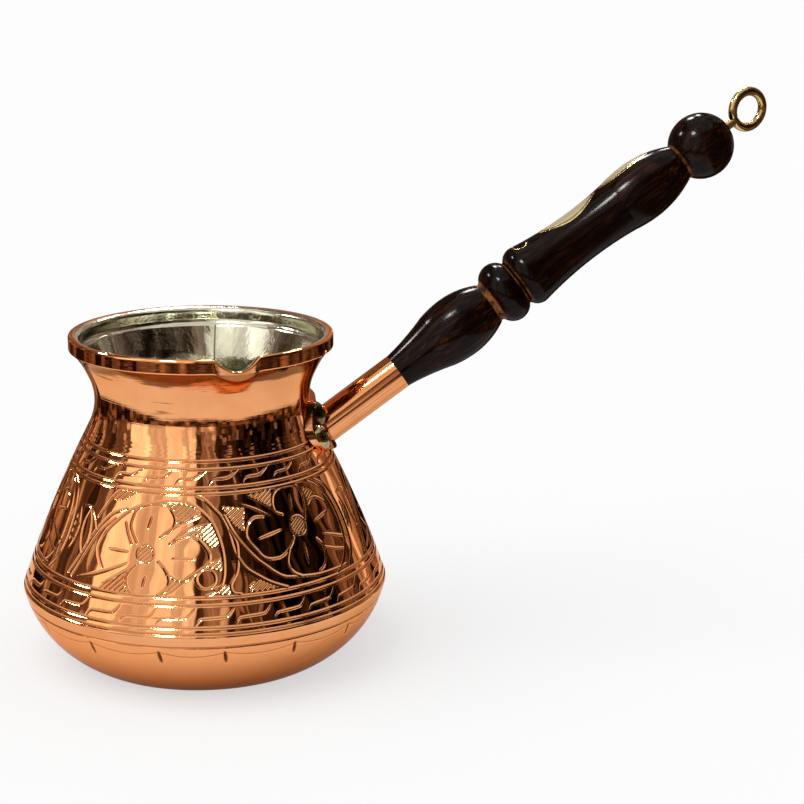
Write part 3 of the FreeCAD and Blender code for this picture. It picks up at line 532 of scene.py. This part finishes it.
# %% [markdown]
# A finish is a tree of nodes. These helpers add a node and feed its inputs in one line. Three effects are
# shared, so each is a node group: turning lines that follow the height, soft blotches where hands and heat
# have stained the metal, and grain that runs along the handle.

# %% Node helpers and shared effects
def feed(tree, made, inputs):
    """Gives a node's inputs numbers, colours or other outputs; i0 and i1 mean the first two inputs."""
    for name, value in inputs.items():
        key = int(name[1]) if name in ("i0", "i1") else name.replace("_", " ")
        if isinstance(value, bpy.types.NodeSocket):
            tree.links.new(value, made.inputs[key])
        else:
            made.inputs[key].default_value = value


def add(tree, kind, settings=None, **inputs):
    """Adds a node; the names of its inputs are written with underscores for spaces."""
    made = tree.nodes.new("ShaderNode" + kind)
    for name, value in (settings or {}).items():
        setattr(made, name, value)
    feed(tree, made, inputs)
    return made


def sums(tree, operation, first, second=0.0):
    return add(tree, "Math", {"operation": operation}, i0=first, i1=second).outputs[0]


def times(tree, first, second):
    return sums(tree, "MULTIPLY", first, second)


def plus(tree, first, second):
    return sums(tree, "ADD", first, second)


def mapped(tree, value, **span):
    return add(tree, "MapRange", Value=value, **span).outputs[0]


def bumped(tree, strength, distance, height, **more):
    return add(tree, "Bump", Strength=strength, Distance=distance, Height=height, **more).outputs[0]


def object_spot(tree):
    return add(tree, "TexCoord").outputs["Object"]


def parts_of(tree, vector):
    """X, Y and Z of a place, each as a value."""
    return add(tree, "SeparateXYZ", Vector=vector).outputs


def stretched(tree, place, x, y, z):
    """A place with its axes scaled, so that noise is drawn out along the smallest."""
    return add(tree, "CombineXYZ", X=times(tree, place["X"], x),
               Y=times(tree, place["Y"], y), Z=times(tree, place["Z"], z)).outputs[0]


def shared_effect(name, inputs, outputs):
    """An empty node group with named number inputs and outputs."""
    tree = bpy.data.node_groups.new(name, "ShaderNodeTree")
    for title, value in inputs.items():
        socket = tree.interface.new_socket(title, in_out="INPUT", socket_type="NodeSocketFloat")
        socket.default_value = value
    for title in outputs:
        tree.interface.new_socket(title, in_out="OUTPUT", socket_type="NodeSocketFloat")
    return tree, tree.nodes.new("NodeGroupInput").outputs, tree.nodes.new("NodeGroupOutput").inputs


def use(tree, effect, **inputs):
    made = tree.nodes.new("ShaderNodeGroup")
    made.node_tree = effect
    feed(tree, made, inputs)
    return made.outputs


turning_lines, given, result = shared_effect("turning_lines", {"Lines": 900.0, "Waver": 12.0}, ["Height"])
place = parts_of(turning_lines, object_spot(turning_lines))
drawn_out = stretched(turning_lines, place, given["Waver"], given["Waver"], given["Lines"])
lines = add(turning_lines, "TexNoise", Vector=drawn_out, Scale=1.0, Detail=3.0,
            Roughness=0.6).outputs["Fac"]
turning_lines.links.new(lines, result["Height"])

blotches, given, result = shared_effect("blotches", {"Size": 60.0, "Sharpness": 3.0}, ["Mask"])
noise = add(blotches, "TexNoise", Vector=object_spot(blotches), Scale=given["Size"],
            Detail=5.0, Roughness=0.6, Distortion=0.4).outputs["Fac"]
centred = times(blotches, sums(blotches, "SUBTRACT", noise, 0.5), given["Sharpness"])
mask = add(blotches, "Clamp", Value=plus(blotches, centred, 0.5)).outputs[0]
blotches.links.new(mask, result["Mask"])


def blotchy(tree, size, sharpness):
    return use(tree, blotches, Size=size, Sharpness=sharpness)["Mask"]


HANDLE_RISE = math.radians(35.0)
HANDLE_FOOT = (0, 0, 39.5 * MM)
grain, given, result = shared_effect("handle_grain", {"Streaks": 500.0, "Length": 14.0}, ["Streak", "Along"])
levelled = add(grain, "VectorRotate", {"rotation_type": "Y_AXIS"}, Vector=object_spot(grain),
               Center=HANDLE_FOOT, Angle=HANDLE_RISE).outputs[0]
place = parts_of(grain, levelled)
drawn_out = stretched(grain, place, given["Length"], given["Streaks"], given["Streaks"])
streak = add(grain, "TexNoise", Vector=drawn_out, Scale=1.0, Detail=5.0, Roughness=0.65,
             Distortion=0.6).outputs["Fac"]
grain.links.new(streak, result["Streak"])
grain.links.new(place["X"], result["Along"])
print("shared effects:", [tree.name for tree in bpy.data.node_groups])

# %% [markdown]
# Polished copper is a metal whose colour is its reflection. The engraved wall is bright, the bowl under the
# belly is brushed to a satin and painted darker towards the base as shade, and the cuts are brown and a
# little duller. Painted shade darkens the neck under the hem and the drawn lip. Turning lines roughen the
# metal very slightly.

# %% Copper
def new_material(name, roughness, metallic, colour):
    material = bpy.data.materials.new(name)
    material.use_nodes = True
    shader = material.node_tree.nodes["Principled BSDF"]
    shader.inputs["Roughness"].default_value = roughness
    shader.inputs["Metallic"].default_value = metallic
    shader.inputs["Base Color"].default_value = (*colour, 1)
    return material, material.node_tree, shader.inputs


def ramp(tree, value, stops, stepped=False):
    """A colour ramp from positions and colours; stepped keeps each colour up to the next position."""
    made = add(tree, "ValToRGB", Fac=value)
    made.color_ramp.interpolation = "CONSTANT" if stepped else "LINEAR"
    elements = made.color_ramp.elements
    while len(elements) < len(stops):
        elements.new(1.0)
    for element, (position, colour) in zip(elements, stops):
        element.position = position
        element.color = (*colour, 1)
    return made.outputs["Color"]


def blend(tree, amount, first, second):
    """Mixes two colours; each is three numbers or another node's output."""
    first, second = [(*colour, 1) if isinstance(colour, tuple) else colour for colour in (first, second)]
    return add(tree, "MixRGB", Fac=amount, Color1=first, Color2=second).outputs[0]


COPPER = (0.93, 0.43, 0.19)
COPPER_STAIN = (0.82, 0.33, 0.125)
COPPER_EDGE = (0.93, 0.68, 0.52)
COPPER_SATIN = (0.93, 0.39, 0.15)
# painted shade: the bowl darkens towards the base, standing in for the shaded table it mirrors
COPPER_BASE_SHADE = (0.44, 0.115, 0.03)
COPPER_BROWN = (0.16, 0.05, 0.016)
# painted shade under the hem, where the collar shades the neck
COPPER_HEM_SHADE = (0.2, 0.075, 0.025)
# painted shade on the drawn lip, darkening its mirrored light
COPPER_LIP_SHADE = (0.55, 0.19, 0.06)
COPPER_STREAK = (0.58, 0.2, 0.07)
# heights in millimetres: the satin, the painted shade at the base, the painted shade under the hem and the
# brushed neck
SATIN_FROM, SATIN_TO = 20.0, 17.4
BASE_SHADE_FROM, BASE_SHADE_TO = 17.0, 0.5
HEM_SHADE_FROM, HEM_SHADE_TO, HEM_SHADE_ENDS = 83.5, 88.5, 89.5
BRUSHED_FROM, BRUSHED_TO = 70.0, 78.0
# the lip's painted shade: its height, its outer radius and the radius of its full colour
LIP_SHADE_AT, LIP_SHADE_EDGE, LIP_SHADE_CORE = 90.5, 6.0, 3.0


def stained_copper(tree):
    stain = blotchy(tree, 45.0, 2.2)
    return ramp(tree, stain, [(0.2, COPPER), (1.0, COPPER_STAIN)])


engraved, tree, shader = new_material("engraved_copper", 0.07, 1.0, COPPER)
shader["Specular Tint"].default_value = (*COPPER_EDGE, 1)
spot = object_spot(tree)
height = parts_of(tree, spot)["Z"]
satin = mapped(tree, height, From_Min=SATIN_FROM * MM, From_Max=SATIN_TO * MM)
cut_socket = add(tree, "Attribute", {"attribute_name": "cut"}).outputs["Fac"]
in_cut = sums(tree, "POWER", cut_socket, 1.3)
# painted shade: darker towards the base
base_shade = mapped(tree, height, From_Min=BASE_SHADE_FROM * MM, From_Max=BASE_SHADE_TO * MM)
bowl = blend(tree, sums(tree, "POWER", base_shade, 1.7), COPPER_SATIN, COPPER_BASE_SHADE)

# painted shade under the hem, with ragged edges from noise
hem_shade_noise = use(tree, turning_lines, Lines=500.0, Waver=55.0)["Height"]
hem_shade_edge = times(tree, sums(tree, "SUBTRACT", hem_shade_noise, 0.5), 9.0)
under_hem = mapped(tree, height, From_Min=HEM_SHADE_FROM * MM, From_Max=HEM_SHADE_TO * MM,
                   To_Min=-1.6, To_Max=2.0)
hem_shade = add(tree, "Clamp", Value=plus(tree, under_hem, hem_shade_edge), Max=0.9).outputs[0]
below_band = sums(tree, "LESS_THAN", height, HEM_SHADE_ENDS * MM)
bright = blend(tree, times(tree, hem_shade, below_band), stained_copper(tree), COPPER_HEM_SHADE)
lip_angle, lip_reach = math.radians(LIP_AT), (COLLAR + LIP_LEANS) * MM
lip_place = (lip_reach * math.cos(lip_angle), lip_reach * math.sin(lip_angle), LIP_SHADE_AT * MM)
from_lip = add(tree, "VectorMath", {"operation": "DISTANCE"}, i0=spot, i1=lip_place).outputs["Value"]
# painted shade about the lip
lip_shade = mapped(tree, from_lip, From_Min=LIP_SHADE_EDGE * MM, From_Max=LIP_SHADE_CORE * MM, To_Max=0.6)
surface = blend(tree, satin, blend(tree, lip_shade, bright, COPPER_LIP_SHADE), bowl)
tree.links.new(blend(tree, in_cut, surface, COPPER_BROWN), shader["Base Color"])

scuffs = use(tree, turning_lines, Lines=2600.0, Waver=40.0)["Height"]
gloss = mapped(tree, satin, To_Min=0.02, To_Max=0.16)
polish = plus(tree, gloss, times(tree, scuffs, 0.035))
tree.links.new(plus(tree, polish, times(tree, in_cut, 0.2)), shader["Roughness"])
on_neck = mapped(tree, height, From_Min=BRUSHED_FROM * MM, From_Max=BRUSHED_TO * MM,
                 To_Min=0.025, To_Max=0.14)
brushed = bumped(tree, on_neck, 0.2 * MM, scuffs)
facets = blotchy(tree, 20.0, 1.2)
planished = bumped(tree, times(tree, satin, 0.7), 2 * MM, facets, Normal=brushed)
tree.links.new(planished, shader["Normal"])
pot.data.materials.append(engraved)

drawn, tree, shader = new_material("drawn_copper", 0.1, 1.0, COPPER)
shader["Specular Tint"].default_value = (*COPPER_EDGE, 1)
streak = use(tree, grain, Streaks=1400.0, Length=10.0)["Streak"]
streaked = mapped(tree, streak, From_Min=0.42, From_Max=0.66)
tree.links.new(blend(tree, streaked, stained_copper(tree), COPPER_STREAK), shader["Base Color"])
tree.links.new(mapped(tree, streak, To_Min=0.03, To_Max=0.16), shader["Roughness"])
tree.links.new(bumped(tree, 0.05, 0.2 * MM, streak), shader["Normal"])
print("copper finishes:", engraved.name, drawn.name)

# %% [markdown]
# Wiped tin is grey with a slight yellow cast. It is brushed on hot with a cloth, so it is cloudy, and it
# carries soft upright streaks where the cloth ran. A dark line is the seam at the back. Brass is yellower
# than copper and here more or less tarnished.

# %% Tin and brass
SEAM_AT = math.radians(75.9)
SEAM_COLOUR = (0.18, 0.15, 0.09)
TIN_TONES = [(0.0, (0.4, 0.38, 0.26)), (0.5, (0.6, 0.59, 0.46)), (1.0, (0.8, 0.79, 0.68))]
tinned, tree, shader = new_material("wiped_tin", 0.2, 1.0, (0.75, 0.71, 0.58))
tin_colour = ramp(tree, blotchy(tree, 55.0, 2.0), TIN_TONES)
spot = object_spot(tree)
place = parts_of(tree, spot)
beside = add(tree, "VectorMath", {"operation": "DOT_PRODUCT"}, i0=spot,
             i1=(math.sin(SEAM_AT), -math.cos(SEAM_AT), 0)).outputs["Value"]
near_seam = mapped(tree, sums(tree, "ABSOLUTE", beside), From_Min=0.35 * MM, From_Max=0.1 * MM)
at_back = sums(tree, "GREATER_THAN", place["Y"], 0.0)
below_ledge = sums(tree, "LESS_THAN", place["Z"], MOUTH_FLOOR * MM)
seam = times(tree, near_seam, times(tree, at_back, below_ledge))
tree.links.new(blend(tree, seam, tin_colour, SEAM_COLOUR), shader["Base Color"])
smear = use(tree, turning_lines, Lines=40.0, Waver=300.0)["Height"]
wiped_gloss = mapped(tree, smear, From_Min=0.3, From_Max=0.7, To_Min=0.06, To_Max=0.22)
tree.links.new(wiped_gloss, shader["Roughness"])
waved = blotchy(tree, 90.0, 1.0)
tree.links.new(bumped(tree, 0.35, MM, waved), shader["Normal"])
lining.data.materials.append(tinned)


def brass(name, roughness, bright, dull):
    """Brass whose blotches are duller in colour and in polish."""
    material, tree, shader = new_material(name, roughness, 1.0, bright)
    blotch = blotchy(tree, 260.0, 3.5)
    tree.links.new(ramp(tree, blotch, [(0.15, bright), (1.0, dull)]), shader["Base Color"])
    matt = mapped(tree, blotch, To_Min=roughness * 0.7, To_Max=roughness * 1.6)
    tree.links.new(matt, shader["Roughness"])
    return material


polished_brass = brass("polished_brass", 0.16, (0.66, 0.48, 0.2), (0.5, 0.34, 0.12))
inlaid_brass = brass("inlaid_brass", 0.25, (0.78, 0.56, 0.22), (0.5, 0.34, 0.12))
dull_brass = brass("dull_brass", 0.12, (0.46, 0.36, 0.17), (0.32, 0.24, 0.1))
# painted shade: the upper rivets are almost black, as if in shadow
shadowed_brass = brass("shadowed_brass", 0.14, (0.16, 0.11, 0.055), (0.07, 0.045, 0.022))
print("tin, and brass finishes polished, inlaid, dull and dark")

# %% [markdown]
# The handle is dark hardwood under a thin clear coat. Reddish streaks run along it with almost black patches
# between them, and in the turned grooves the surface has worn to a lighter brown. Bone is pale, with fibres
# that run the same way.

# %% Wood and bone
# place along the handle, half width of the worn band and how worn it is, for each groove
GROOVES = [(102.9, 1.1, 1.0), (111.9, 0.3, 0.6), (113.0, 0.3, 0.6), (171.9, 0.45, 0.8)]
WOOD_TONES = [(0.36, (0.002, 0.0007, 0.0003)), (0.5, (0.006, 0.0017, 0.0005)),
              (0.62, (0.034, 0.008, 0.0018)), (0.76, (0.15, 0.042, 0.01))]
WOOD_DARK, WOOD_WORN = (0.0025, 0.0008, 0.0003), (0.3, 0.11, 0.035)
BONE_TONES = [(0.3, (0.30, 0.22, 0.11)), (0.5, (0.44, 0.36, 0.21)), (0.75, (0.56, 0.48, 0.32))]
lacquered, tree, shader = new_material("lacquered_wood", 0.38, 0.0, (0.02, 0.008, 0.005))
figure = use(tree, grain, Streaks=900.0, Length=26.0)
darkened = mapped(tree, blotchy(tree, 75.0, 3.5), To_Max=0.85)
wood = blend(tree, darkened, ramp(tree, figure["Streak"], WOOD_TONES), WOOD_DARK)
worn = 0.0
for groove, half, wear in GROOVES:
    from_groove = sums(tree, "ABSOLUTE", sums(tree, "SUBTRACT", figure["Along"], groove * MM))
    near = mapped(tree, from_groove, From_Min=half * MM, From_Max=half * 0.6 * MM, To_Max=wear)
    worn = sums(tree, "MAXIMUM", near, worn)
patchy = blotchy(tree, 420.0, 6.0)
worn = times(tree, worn, mapped(tree, patchy, To_Min=0.15, To_Max=1.0))
tree.links.new(blend(tree, worn, wood, WOOD_WORN), shader["Base Color"])
tree.links.new(bumped(tree, 0.1, 0.3 * MM, figure["Streak"]), shader["Normal"])
shader["Specular IOR Level"].default_value = 0.0
shader["Coat Weight"].default_value = 0.22
shader["Coat Roughness"].default_value = 0.16

bone, tree, shader = new_material("polished_bone", 0.3, 0.0, (0.45, 0.37, 0.22))
fibre = use(tree, grain, Streaks=900.0, Length=40.0)["Streak"]
tree.links.new(ramp(tree, fibre, BONE_TONES), shader["Base Color"])
shader["Coat Weight"].default_value = 0.4
shader["Coat Roughness"].default_value = 0.1
print("handle finishes:", lacquered.name, bone.name)

# %% [markdown]
# The other pieces keep their solids' own meshes, which are already fine enough. Each takes the finish of its
# metal or wood. The upper rivets are painted almost black as shade, the lower ones olive.

# %% Finishes on the solids
FINISHES = {
    "bracket_plate": drawn, "ferrule": drawn,
    "rivet_upper_near": shadowed_brass, "rivet_upper_far": shadowed_brass,
    "rivet_lower_near": dull_brass, "rivet_lower_far": dull_brass,
    "wooden_handle": lacquered, "bone_inlay_front": bone, "bone_inlay_rear": bone,
    "inlay_wire_front": inlaid_brass, "inlay_wire_rear": inlaid_brass,
    "scroll_wire_far": inlaid_brass, "scroll_wire_near": inlaid_brass, "screw_eye": polished_brass,
}
for node, material in FINISHES.items():
    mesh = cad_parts[node].data
    mesh.materials.clear()
    mesh.materials.append(material)
print(len(FINISHES), "solids keep their meshes")

# %% [markdown]
# Polished metal shows the room more than itself, so the room is part of the picture. Its pieces glow, and
# only reflections see them, so they add no soft light. The camera sees only the table, which glows a little
# for the camera and for reflections and keeps the pot's shadow.

# %% Studio helpers and table
def stage_mesh(name, points, faces, material):
    mesh = bpy.data.meshes.new(name)
    mesh.from_pydata(points, [], faces)
    mesh.materials.append(material)
    made = bpy.data.objects.new(name, mesh)
    bpy.context.scene.collection.objects.link(made)
    return made


def only_in_reflections(made):
    for ray in ("camera", "diffuse", "shadow", "transmission", "volume_scatter"):
        setattr(made, "visible_" + ray, False)


def glow(name):
    material = bpy.data.materials.new(name)
    material.use_nodes = True
    tree = material.node_tree
    tree.nodes.remove(tree.nodes["Principled BSDF"])
    light = tree.nodes.new("ShaderNodeEmission")
    tree.links.new(light.outputs[0], tree.nodes["Material Output"].inputs["Surface"])
    return material, tree, light.inputs


def not_after_diffuse(tree):
    """One where the metal is looked at, almost nothing where the table looks at the metal."""
    bounces = add(tree, "LightPath").outputs["Diffuse Depth"]
    return mapped(tree, bounces, To_Min=1.0, To_Max=0.15)


def looks(tree):
    """Masks for rays from the camera and for mirrored and refracted rays. Soft light is in neither."""
    path = add(tree, "LightPath").outputs
    return path["Is Camera Ray"], plus(tree, path["Is Glossy Ray"], path["Is Transmission Ray"])


def scaled(tree, colour, amount):
    """A colour made stronger or weaker."""
    return add(tree, "VectorMath", {"operation": "SCALE"}, i0=colour, Scale=amount).outputs[0]


TABLE_RADIUS, SIDES = 9, 120
CAMERA_PAINT, CAMERA_GLOW, MIRROR_GLOW = 0.45, 0.6, 0.12
table, tree, shader = new_material("table", 0.6, 0.0, (0.8, 0.8, 0.8))
speckle = blotchy(tree, 30.0, 1.0)
paint = ramp(tree, speckle, [(0.0, (0.796, 0.796, 0.796)), (1.0, (0.804, 0.804, 0.804))])
by_camera, by_mirror = looks(tree)
thinned = mapped(tree, by_camera, To_Min=1.0, To_Max=CAMERA_PAINT)
tree.links.new(scaled(tree, paint, thinned), shader["Base Color"])
shader["Specular IOR Level"].default_value = 0.0
shader["Emission Color"].default_value = (1, 1, 1, 1)
lit_table = plus(tree, times(tree, by_camera, CAMERA_GLOW),
                 times(tree, by_mirror, MIRROR_GLOW))
tree.links.new(lit_table, shader["Emission Strength"])
around = [2 * math.pi * k / SIDES for k in range(SIDES)]
table_edge = [(TABLE_RADIUS * math.cos(a), TABLE_RADIUS * math.sin(a), 0) for a in around]
stage_mesh("floor", table_edge, [list(range(SIDES))], table)
print("table", TABLE_RADIUS, "m in radius")

# %% [markdown]
# A round wall stands about the pot. Panels of light and dark go round it, like a soft box, a window, pale
# walls and curtains. Two sizes of panes break up the dark ones, and noise makes the edges waver, so that the
# copper has something to mirror.

# %% Room wall
panes, given, result = shared_effect(
    "panes", {"Turn": 0.0, "Height": 0.0, "Across": 50.0, "Up": 3.0}, ["Tone"])
column = sums(panes, "FLOOR", times(panes, given["Turn"], given["Across"]))
shift = add(panes, "TexWhiteNoise", {"noise_dimensions": "1D"}, W=column).outputs["Value"]
row = sums(panes, "FLOOR", plus(panes, times(panes, given["Height"], given["Up"]), shift))
cell = add(panes, "CombineXYZ", X=column, Y=row).outputs[0]
cell_tone = add(panes, "TexWhiteNoise", {"noise_dimensions": "2D"}, Vector=cell).outputs["Value"]
panes.links.new(cell_tone, result["Tone"])

ROOM_RADIUS, ROOM_TOP = 0.9, 1.5
BRIGHTEST = 4.0
WAVERING = 0.012
WARM_DARK, WARM_LIGHT = (1.0, 0.55, 0.34), (1.0, 0.95, 0.88)
PANELS_FROM = -220
# where each panel starts, in degrees round the room, and how bright it is
PANELS = {
    -220: 0.1,   # dark corner
    -195: 0.35,  # dim wall
    -175: 1.5,   # soft box
    -155: 0.9,   # pale wall
    -135: 1.3,   # window
    -120: 0.9,   # pale wall
    -105: 0.15,  # dark behind the camera
    -100: 0.45,  # dim strip
    -85: 0.1,    # dark wall
    -65: 0.015,  # black curtain
    -10: 0.1,    # dark wall
    15: 0.5,     # pale wall at the back
    90: 0.2,     # dark wall again
}
room, tree, light = glow("room")
place = parts_of(tree, object_spot(tree))
azimuth = sums(tree, "ARCTAN2", place["Y"], place["X"])
from_first = plus(tree, sums(tree, "DIVIDE", azimuth, 2 * math.pi), 1 - PANELS_FROM / 360)
round_room = sums(tree, "FRACT", from_first)
drawn_out = add(tree, "CombineXYZ", X=times(tree, round_room, 130.0),
                Y=times(tree, place["Z"], 2.5)).outputs[0]
streaks = add(tree, "TexNoise", {"noise_dimensions": "2D"}, Vector=drawn_out, Scale=1.0, Detail=4.0,
              Roughness=0.7).outputs["Fac"]
moved = times(tree, sums(tree, "SUBTRACT", streaks, 0.5), WAVERING)
wavering = plus(tree, round_room, moved)
panel_stops = [((start - PANELS_FROM) / 360, (level / BRIGHTEST,) * 3) for start, level in PANELS.items()]
tone = times(tree, ramp(tree, wavering, panel_stops, stepped=True), BRIGHTEST)
wide = use(tree, panes, Turn=wavering, Height=place["Z"], Across=90.0, Up=2.2)["Tone"]
small = use(tree, panes, Turn=wavering, Height=place["Z"], Across=170.0, Up=8.0)["Tone"]
wide_change = mapped(tree, sums(tree, "POWER", wide, 2.5), To_Min=0.1, To_Max=3.2)
small_change = mapped(tree, small, To_Min=0.4, To_Max=1.6)
change = times(tree, wide_change, small_change)
calm = mapped(tree, tone, To_Min=1.0, To_Max=0.1)
varied = plus(tree, 1.0, times(tree, sums(tree, "SUBTRACT", change, 1.0), calm))
glint = times(tree, sums(tree, "GREATER_THAN", small, 0.94), times(tree, calm, 0.3))
strength = plus(tree, times(tree, tone, varied), glint)
warmth = add(tree, "Clamp", Value=times(tree, strength, 1.2)).outputs[0]
tint = ramp(tree, warmth, [(0.0, WARM_DARK), (1.0, WARM_LIGHT)])
tree.links.new(scaled(tree, tint, strength), light["Color"])
tree.links.new(not_after_diffuse(tree), light["Strength"])

ring_low = [(ROOM_RADIUS * math.cos(a), ROOM_RADIUS * math.sin(a), 0.0) for a in around]
ring_high = [(x, y, ROOM_TOP) for x, y, z in ring_low]
wall_faces = [(k, (k + 1) % SIDES, SIDES + (k + 1) % SIDES, SIDES + k) for k in range(SIDES)]
only_in_reflections(stage_mesh("room_wall", ring_low + ring_high, wall_faces, room))
print("room", ROOM_RADIUS, "m in radius with", len(PANELS), "panels")

# %% [markdown]
# A cloudy ceiling and a dark floor close the room. The floor leaves a square of the table about the pot,
# so that the bright table ends in the reflections. Four small lamps glint on the lacquer.

# %% Ceiling, dark floor and small lamps
overhead, tree, light = glow("overhead")
cloudy = mapped(tree, blotchy(tree, 3.0, 3.0), To_Min=0.4, To_Max=1.6)
tree.links.new(scaled(tree, (1.0, 0.97, 0.92), cloudy), light["Color"])
only_in_reflections(stage_mesh("ceiling", ring_high, [list(range(SIDES))], overhead))

VIEW_TURN, VIEW_DIP, VIEW_ROLL = -13.0, 14.28, 0.34
LEFT, RIGHT, BACK, FRONT = -0.17, 0.23, 0.13, -0.255
DARK_REACH, DARK_HEIGHT = 1.0, 0.0005
dark, tree, light = glow("dark_floor")
place = parts_of(tree, object_spot(tree))
azimuth = sums(tree, "ARCTAN2", place["Y"], place["X"])
squares = plus(tree, sums(tree, "POWER", place["X"], 2.0), sums(tree, "POWER", place["Y"], 2.0))
from_pot = sums(tree, "SQRT", squares)
pane = use(tree, panes, Turn=azimuth, Height=from_pot, Across=14.0, Up=7.0)["Tone"]
patches = plus(tree, 0.01, times(tree, sums(tree, "POWER", pane, 4.0), 0.6))
tree.links.new(scaled(tree, WARM_DARK, patches), light["Color"])
tree.links.new(not_after_diffuse(tree), light["Strength"])
edges_x = [-DARK_REACH, LEFT, RIGHT, DARK_REACH]
edges_y = [-DARK_REACH, FRONT, BACK, DARK_REACH]
facing = Matrix.Rotation(math.radians(VIEW_TURN), 3, "Z")
dark_points = [tuple(facing @ Vector((x, y, DARK_HEIGHT))) for y in edges_y for x in edges_x]
around_table = [(4 * j + k, 4 * j + k + 1, 4 * j + k + 5, 4 * j + k + 4)
                for j in range(3) for k in range(3) if (j, k) != (1, 1)]
only_in_reflections(stage_mesh("dark_floor", dark_points, around_table, dark))

BULB_STRENGTH, BULB_AWAY = 80.0, 0.7
HANDLE_MIDDLE = Vector((0.1, 0.0, 0.12))
# azimuth, elevation and half width in degrees of each small lamp, seen from the handle
BULBS = [(89, 46, 5.0), (70, 40, 3.0), (-146, 51, 5.0), (154, 33, 3.5)]
bulb, tree, light = glow("bulb")
tree.links.new(times(tree, BULB_STRENGTH, not_after_diffuse(tree)), light["Strength"])
for number, (bulb_turn, elevation, half) in enumerate(BULBS):
    towards = Vector((BULB_AWAY, 0, 0))
    towards.rotate(Matrix.Rotation(math.radians(-elevation), 3, "Y"))
    towards.rotate(Matrix.Rotation(math.radians(bulb_turn), 3, "Z"))
    tilt = towards.to_track_quat("Z", "Y")
    reach = towards.length * math.tan(math.radians(half))
    rim = [HANDLE_MIDDLE + towards + tilt @ Vector((reach * math.cos(a), reach * math.sin(a), 0))
           for a in around[::5]]
    only_in_reflections(stage_mesh(f"bulb_{number}", rim, [list(range(len(rim)))], bulb))
print("ceiling, dark floor and", len(BULBS), "bulbs")

# %% [markdown]
# A very soft sun from the upper left gives the small shadow on the right. The world fills the shadows and
# gives the white background: its strength is one for rays from the camera and for reflections, less for soft
# light.

# %% Lamp, world and camera
SUN_WIDTH, SUN_STRENGTH = 60, 1.5
SUN_RUNS = Vector((0.6, 0.15, -1.0))
AMBIENT = 0.66
SENSOR, LENS = 36.0, 85.55
CAMERA_AT = Vector((0.05666, -0.52662, 0.20731))
lamp = bpy.data.lights.new("key", "SUN")
lamp.angle = math.radians(SUN_WIDTH)
lamp.energy = SUN_STRENGTH
key = bpy.data.objects.new("key", lamp)
key.rotation_euler = SUN_RUNS.to_track_quat("-Z", "Y").to_euler()
key.visible_glossy = False
bpy.context.scene.collection.objects.link(key)

world = bpy.data.worlds.new("studio")
bpy.context.scene.world = world
world.use_nodes = True
tree = world.node_tree
background = tree.nodes["Background"]
background.inputs["Color"].default_value = (1, 1, 1, 1)
fill = mapped(tree, plus(tree, *looks(tree)), To_Min=AMBIENT, To_Max=1.0)
tree.links.new(fill, background.inputs["Strength"])

camera = bpy.data.cameras.new("camera")
camera.sensor_width = SENSOR
camera.lens = LENS
viewer = bpy.data.objects.new("camera", camera)
sideways = Matrix.Rotation(math.radians(VIEW_TURN), 4, "Z")
aim = (Matrix.Rotation(math.radians(90 - VIEW_DIP), 4, "X")
       @ Matrix.Rotation(math.radians(VIEW_ROLL), 4, "Z"))
viewer.matrix_world = Matrix.Translation(sideways @ CAMERA_AT) @ sideways @ aim
bpy.context.scene.collection.objects.link(viewer)
bpy.context.scene.camera = viewer
bpy.context.scene.view_settings.view_transform = "Standard"
print("camera at", [round(v, 3) for v in viewer.location])
